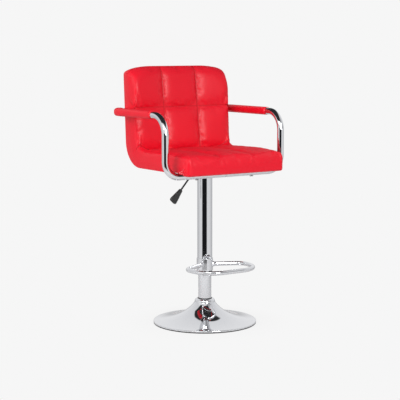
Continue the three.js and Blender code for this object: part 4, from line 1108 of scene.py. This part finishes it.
# %% [markdown]
# A loft alone looks moulded. A real cover is a little larger than its foam and sewn down in the
# seams, so it swells between them and gathers in small creases where the thread pulls. Blender's
# cloth does just that: the seams, the underside and the rear are pinned, the rest is blown up
# from inside. Nothing may move by more than a few millimetres, so the measured shape stays.

# %% Let the cover swell and gather
SWELL_FRAMES, SWELL_CAP, SWELL_PRESSURE, SWELL_SLACK = 20, 0.0055, 4.0, 0.02
SIDE_HOLD, PANEL_HOLD = 0.97, 0.96


def pin(x, i):
    """How firmly a point is held: fully on seams, the crease, the underside and the rear."""
    if i == 0 or i >= LINE_CELLS:
        return 1.0
    side = clamp((abs(x) - SEAT_HALF + 4) / 4) * SIDE_HOLD
    column = math.exp(-((abs(abs(x) - SEAM_X) / 3.0) ** 2)) * clamp((SEAM_LAST + 3 - i) / SEAM_FADE)
    return max(side, column, math.exp(-((from_seam_row(i) / 1.2) ** 2)))


def cover_pins():
    held = [pin(x, i) for x in places for i in range(ring_size)]
    return held + [PANEL_HOLD] * (len(hide.data.vertices) - len(held))


def swell(piece, held, cap):
    """Blows a pinned piece up as cloth and keeps each point within a cap of where it was."""
    group = piece.vertex_groups.new(name="held")
    for i, weight in enumerate(held):
        group.add([i], weight, "REPLACE")
    cloth = piece.modifiers.new("swell", "CLOTH")
    stuff = cloth.settings
    stuff.quality = 6
    stuff.mass = 0.2
    stuff.tension_stiffness = stuff.compression_stiffness = 12
    stuff.shear_stiffness = 5
    stuff.bending_stiffness = 0.3
    stuff.vertex_group_mass = group.name
    stuff.use_pressure = True
    stuff.uniform_pressure_force = SWELL_PRESSURE
    stuff.shrink_min = -SWELL_SLACK
    stuff.effector_weights.gravity = 0
    cloth.point_cache.frame_start, cloth.point_cache.frame_end = 1, SWELL_FRAMES
    count = len(piece.data.vertices)
    start, end = np.empty(count * 3), np.empty(count * 3)
    piece.data.vertices.foreach_get("co", start)
    for step in range(1, SWELL_FRAMES + 1):
        scene.frame_set(step)
    grown = piece.evaluated_get(bpy.context.evaluated_depsgraph_get())
    grown.data.vertices.foreach_get("co", end)
    move = (end - start).reshape(-1, 3)
    reach = np.linalg.norm(move, axis=1, keepdims=True)
    kept = cap * np.tanh(reach / cap) / np.maximum(reach, 1e-9)
    piece.modifiers.remove(cloth)
    piece.vertex_groups.remove(group)
    piece.data.vertices.foreach_set("co", (start.reshape(-1, 3) + move * kept).ravel())
    piece.data.update()
    scene.frame_set(1)
    print(f"moved by up to {reach.max() / MM:.1f} mm, on average {reach.mean() / MM:.1f} mm")


swell(hide, cover_pins(), SWELL_CAP)
keep(hide, "seat", "red_hide", "seat_cushion", "back_cushion")

# %% [markdown]
# ## Stitches and staples
# Small pieces in a row are work for Geometry Nodes: one recipe takes a line, puts a point on it
# every few millimetres and sets a small piece there, turned the way the line runs. The same
# recipe makes the thread of a seam and, with other sizes, the staples that hold the lining.

# %% A recipe for rows of small pieces
class Recipe(Net):
    """A Geometry Nodes tree that takes a line and some named values."""

    def __init__(self, name, **inputs):
        self.tree = bpy.data.node_groups.new(name, "GeometryNodeTree")
        face = self.tree.interface
        face.new_socket("Geometry", in_out="INPUT", socket_type="NodeSocketGeometry")
        for key, kind in inputs.items():
            face.new_socket(key, in_out="INPUT", socket_type="NodeSocket" + kind)
        face.new_socket("Geometry", in_out="OUTPUT", socket_type="NodeSocketGeometry")
        self.entry = self.tree.nodes.new("NodeGroupInput")
        self.exit = self.tree.nodes.new("NodeGroupOutput")

    def given(self, key):
        return Wire(self, self.entry.outputs[key])

    def grow(self, name, points, **values):
        """Runs the recipe on a line of points and returns the finished piece."""
        mesh = bpy.data.meshes.new(name)
        steps = [(k, k + 1) for k in range(len(points) - 1)]
        mesh.from_pydata([tuple(p) for p in points], steps, [])
        piece = bpy.data.objects.new(name, mesh)
        scene.collection.objects.link(piece)
        grower = piece.modifiers.new("recipe", "NODES")
        grower.node_group = self.tree
        for item in self.tree.interface.items_tree:
            if item.in_out == "INPUT" and item.name in values:
                grower[item.identifier] = values[item.name]
        ready = piece.evaluated_get(bpy.context.evaluated_depsgraph_get())
        made = bpy.data.meshes.new_from_object(ready)
        piece.modifiers.remove(grower)
        piece.data = made
        return piece


print("recipe helper ready")

# %% [markdown]
# A stitch is a small stretched ball that lies along the seam, and a staple is a flat bar on the
# lining. So one function builds both recipes and only swaps the small piece.

# %% The two recipes
def row_recipe(name, thread):
    sizes = ("Length", "Width", "Height")
    recipe = Recipe(name, Spacing="Float", **dict.fromkeys(sizes, "Float"), Finish="Material")
    size = recipe.node("ShaderNodeCombineXYZ", None, *(recipe.given(key) for key in sizes))
    line = recipe.node("GeometryNodeMeshToCurve", None, recipe.given("Geometry"))
    by_length = {"mode": "LENGTH"}
    spots = recipe.node("GeometryNodeResampleCurve", by_length, line, Length=recipe.given("Spacing"))
    if thread:
        ball = recipe.node("GeometryNodeMeshUVSphere", None, 8, 6, 0.5)
        bit = recipe.node("GeometryNodeTransform", None, ball, Scale=size)
    else:
        bit = recipe.node("GeometryNodeMeshCube", None, size)
    pivot = {"axis": "X", "pivot_axis": "AUTO" if thread else "Z"}
    way = recipe.node("GeometryNodeInputTangent")
    turn = recipe.node("FunctionNodeAlignRotationToVector", pivot, Vector=way)
    row = recipe.node("GeometryNodeInstanceOnPoints", None, spots, Instance=bit, Rotation=turn)
    solid = recipe.node("GeometryNodeRealizeInstances", None, row)
    dressed = recipe.node("GeometryNodeSetMaterial", None, solid, Material=recipe.given("Finish"))
    recipe.feed(recipe.exit.inputs[0], dressed)
    return recipe


def thread_finish():
    material, net = finish("red_thread")
    twist = net.noise(1500.0, 2.0)
    net.surface(net.mix(twist, (0.30, 0.004, 0.008), (0.46, 0.010, 0.016)), 0.62 + twist * 0.1)
    return material


THREAD = told(thread_finish())
STITCH = {"Spacing": 0.0046, "Length": 0.0034, "Finish": THREAD}
STAPLE = {"Spacing": 0.031, "Length": 0.0105, "Width": 0.0012, "Height": 0.0007, "Finish": ZINC}
STITCHES = row_recipe("stitches", True)
STAPLES = row_recipe("staples", False)
print("recipes of", len(STITCHES.tree.nodes), "and", len(STAPLES.tree.nodes), "nodes")

# %% [markdown]
# ## The rear
# Behind the back a covered board closes the shell. Its edge is piped: a cord in the same
# leatherette, with a row of stitches beside it. The board itself is the solid. Cord and stitches
# follow one line on its surface: flat under the seat, round the corner and up the leaning back.

# %% Piping and stitches of the rear cover
COVER_HALF, COVER_START, COVER_FOOT = SEAT_HALF - 17.0, 96.3, 3
COVER_TOP, COVER_CORNER = BACK_TOP - 26.0, 30.0
CORNER_TURN = math.pi / 2 - LEAN
CORNER_RUN = CORNER * CORNER_TURN
FLAT_RUN = CORNER_Y - COVER_START
LEAN_HEIGHT = COVER_TOP - CORNER_Z + CORNER * math.sin(LEAN)
COVER_RUN = FLAT_RUN + CORNER_RUN + LEAN_HEIGHT / math.cos(LEAN)
PIPING_RADIUS = 0.0021


def on_cover(x, run, inset=0.0):
    """The point on the rear cover's face that lies a run from its lower edge."""
    past = run - FLAT_RUN
    angle = -math.pi / 2 + clamp(past / CORNER, 0, CORNER_TURN)
    y = CORNER_Y + (CORNER - inset) * math.cos(angle) + min(0.0, past)
    z = CORNER_Z + (CORNER - inset) * math.sin(angle)
    rise = max(0.0, past - CORNER_RUN)
    return Vector((x, y + rise * math.sin(LEAN), z + rise * math.cos(LEAN))) * MM


def cover_edge(margin, inset):
    """A line round the cover's two sides and its top, a margin inside its edge."""
    half, top, bend = COVER_HALF - margin, COVER_RUN - margin, COVER_CORNER - margin
    side = [(-half, COVER_FOOT + (top - bend - COVER_FOOT) * k / 70) for k in range(71)]
    turn = [(bend - half - bend * math.cos(a), top - bend + bend * math.sin(a))
            for a in (math.pi / 2 * k / 12 for k in range(1, 13))]
    left = side + turn
    right = [(-x, run) for x, run in left[::-1]]
    return [on_cover(x, run, inset) for x, run in left + right]


edge = cover_edge(0.4, 0.6)
ways = [(b - a).normalized() for a, b in zip([edge[0], *edge[:-1]], [*edge[1:], edge[-1]])]
piping = sweep(
    "rear_piping", list(zip(edge, ways)), lambda i: round_ring(PIPING_RADIUS, 12), RED, (0, 1, 0.3)
)
keep(piping, "seat", "red_hide")
rear_seam = STITCHES.grow("rear_stitches", cover_edge(6.5, -0.1), Width=0.0009, Height=0.0009, **STITCH)
keep(rear_seam, "seat", "red_hide")

# %% [markdown]
# Under the seat the lining is stapled to the plywood along its border. The rows stop where the
# arm tube crosses them.

# %% Staples of the lining
LINING_HALF, LINING_FRONT, LINING_REAR = SEAT_HALF - 18.0, 18.0 - SEAT_FRONT, 96.0
STAPLE_IN, STAPLE_END, STAPLE_REAR = 7.0, 8, -100.0


def lining_rows():
    low = SEAT_UNDER - 0.2
    half, front = LINING_HALF - STAPLE_IN, LINING_FRONT + STAPLE_IN
    rows = {"front": [(-half + STAPLE_END, front), (half - STAPLE_END, front)]}
    for side, name in ((-1, "right"), (1, "left")):
        rows[name + "_rear"] = [(side * half, STAPLE_REAR), (side * half, LINING_REAR - STAPLE_IN)]
    return {name: [Vector((x, y, low)) * MM for x, y in ends] for name, ends in rows.items()}


for name, ends in lining_rows().items():
    keep(STAPLES.grow("staples_" + name, ends, **STAPLE), "seat", "zinc_steel")

# %% [markdown]
# Bolts with six-sided heads hold the plate and the arm loop. A forged head has its corners
# turned off to a cone, which leaves a round face with six curved facets round it. That takes
# rings of 24 points: a six-sided one for the flanks and a round one for the face.

# %% Bolts
BOLT_SIDES, BOLT_RADIUS, BOLT_CORNER, BOLT_HEAD = 24, 3.0, 6.5, 4.0
BOLT_FACE, BOLT_CONE, BOLT_TIP = 5.2, 6.1, 0.6


def hexagon(angle):
    """The distance to a hexagon's side, with its corners at +Y and -Y."""
    turn = (angle - math.pi / 6) % (math.pi / 3) - math.pi / 6
    return BOLT_CORNER * math.cos(math.pi / 6) / math.cos(turn)


def bolt(name, node):
    low, high = (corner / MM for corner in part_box(node))
    rear = "rear" in node
    length = (high.y - low.y if rear else high.z - low.z) - BOLT_HEAD
    turns = [2 * math.pi * k / BOLT_SIDES for k in range(BOLT_SIDES)]
    flank = [hexagon(angle) for angle in turns]
    shank = [BOLT_RADIUS] * BOLT_SIDES
    face, tip = [BOLT_FACE] * BOLT_SIDES, [BOLT_RADIUS - BOLT_TIP] * BOLT_SIDES
    cone = [min(r, BOLT_CONE) for r in flank]
    rings = [(face, -BOLT_HEAD), (cone, -BOLT_HEAD + 0.5), (flank, -BOLT_HEAD + 0.9), (flank, 0.0),
             (shank, 0.0), (shank, length - BOLT_TIP), (tip, length)]
    middle = (low + high) / 2
    points = []
    for radii, z in rings:
        for angle, r in zip(turns, radii):
            x, y = r * math.cos(angle), r * math.sin(angle)
            if rear:
                at = (middle.x + x, high.y - BOLT_HEAD - z, middle.z + y)
            else:
                at = (middle.x + x, middle.y + y, low.z + BOLT_HEAD + z)
            points.append(Vector(at) * MM)
    faces = grid_faces(len(rings), BOLT_SIDES)
    last = len(points) - BOLT_SIDES
    faces += [tuple(range(BOLT_SIDES)), tuple(range(last, len(points)))]
    keep(skin(name, points, faces, ZINC, sharp=24), "seat", "zinc_steel", node)


for node in [n for n in nodes if n.startswith(("plate_bolt", "arm_bolt"))]:
    bolt(node.replace("bolt", "screw"), node)

# %% [markdown]
# ## The arm pads
# Each pad is a padded sleeve round the arm tube, slid on before the loop is closed. It follows
# the tube's own path round part of the rear bend, so its section is swept along that path, with
# smaller rings at both ends where the cover is tucked in. A seam runs along its underside.

# %% Arm pads
PAD_FRONT, PAD_ROUND = -0.044, 0.011
PAD_HALF = Vector((0.0165, 0.0144))
PAD_WRAP = math.radians(63)
PAD_START = (0.001, 0.003, 0.006, 0.012)
PAD_TUCKS = (0.80, 0.90, 0.965, 0.99), (0.97, 0.86)


def pad_ring(scale=1.0, cells=6):
    w, h = PAD_HALF * scale
    r = min(PAD_ROUND * scale, w, h)
    ring = []
    centres = ((w - r, h - r), (r - w, h - r), (r - w, r - h), (w - r, r - h))
    for start, (cx, cy) in zip((0, 90, 180, 270), centres):
        for k in range(cells + 1):
            angle = math.radians(start + 90 * k / cells)
            ring.append((cx + r * math.cos(angle), cy + r * math.sin(angle)))
    return ring


def arm_pad(side):
    route = [s for s in arm_route if s[0].x * side > 0]
    if side < 0:
        route = [(at, -along) for at, along in route[::-1]]
    high = [s for s in route if s[0].z > ARM_TOP - 0.001 and s[0].y > PAD_FRONT]
    rear = ARM_REAR - REAR_BEND * (1 - math.sin(PAD_WRAP)) + 1e-4
    start, back = Vector((side * ARM_HALF, PAD_FRONT, ARM_TOP)), Vector((0, 1, 0))
    line = [(start, back)]
    line += [(start + Vector((0, d, 0)), back) for d in PAD_START]
    line += [s for s in high if s[0].y < rear]
    first, last = PAD_TUCKS
    scales = [*first, *[1.0] * (len(line) - len(first) - len(last)), *last]
    name = "pad_left" if side > 0 else "pad_right"
    seam = [at - Vector((0, 0, PAD_HALF.y - 0.0001)) for at, _ in line[3:-2]]
    row = STITCHES.grow(name + "_stitches", seam, Width=0.0008, Height=0.0008, **STITCH)
    keep(row, "seat", "red_hide")
    return sweep(name, line, lambda i: pad_ring(scales[i]), RED)


for side, node in ((-1, "arm_pad_right"), (1, "arm_pad_left")):
    pad = arm_pad(side)
    keep(pad, "seat", "red_hide", node)

# %% [markdown]
# ## The release lever
# A thin rod comes out of the seat plate, bends down and ends in a flat moulded paddle that
# stands on edge, easy to find by hand from above.

# %% Lever rod and paddle
LEVER_Z = next(j for j in frame["joints"] if j["name"] == "lever_turn")["pos_m"][2]
SLOPE = math.radians(48.5)
DOWN = Vector((-math.cos(SLOPE), 0, -math.sin(SLOPE)))
ROD_RADIUS, ROD_BEND, ROD_RUN, GRIP_RUN = 0.0032, 0.012, 0.112, 0.078
DISH, DISH_RIM, DISH_START, DISH_END = 0.0016, 0.0026, 0.006, 0.005
start, bend = Vector((0.003, 0, LEVER_Z)), Vector((-0.053, 0, LEVER_Z))
way = bent_path([(start, 0), (bend, ROD_BEND), (bend + DOWN * ROD_RUN, 0)], 10)
rod = sweep("lever_bar", way, lambda i: round_ring(ROD_RADIUS, 20), POWDER_COAT, lift=(0, 1, 0))
keep(rod, "lever", "black_steel", "lever_rod")

PADDLE = [
    (0.0, 0.0046, 0.0040), (0.0008, 0.0060, 0.0052), (0.003, 0.0070, 0.0058), (0.010, 0.0082, 0.0060),
    (0.020, 0.0100, 0.0060), (0.030, 0.0121, 0.0060), (0.040, 0.0141, 0.0060), (0.047, 0.0153, 0.0059),
    (0.051, 0.0156, 0.0058), (0.054, 0.0150, 0.0055), (0.0562, 0.0136, 0.0050), (0.0575, 0.0112, 0.0040),
    (0.058, 0.0085, 0.0026),
]


def paddle_ring(run, wide, thick, sides=48, square=3.2):
    """A squared oval whose two faces are dished, between a rim that stays at full thickness."""
    length = PADDLE[-1][0]
    dish = DISH * clamp((run - DISH_START) / 0.004) * clamp((length - DISH_END - run) / 0.003)
    ring = []
    for k in range(sides):
        angle = 2 * math.pi * (k + 0.5) / sides
        c, s = math.cos(angle), math.sin(angle)
        size = (abs(c) ** square + abs(s) ** square) ** (-1 / square)
        inside = clamp((wide - DISH_RIM - abs(wide * size * c)) / 0.001)
        ring.append((wide * size * c, thick * size * s - math.copysign(dish * inside, s)))
    return ring


grip_start = bend + DOWN * GRIP_RUN
grip = sweep("lever_paddle", [(grip_start + DOWN * run, DOWN) for run, _, _ in PADDLE],
             lambda i: paddle_ring(*PADDLE[i]), BLACK_PLASTIC, lift=(0, 1, 0))
keep(grip, "lever", "black_plastic", "lever_grip")
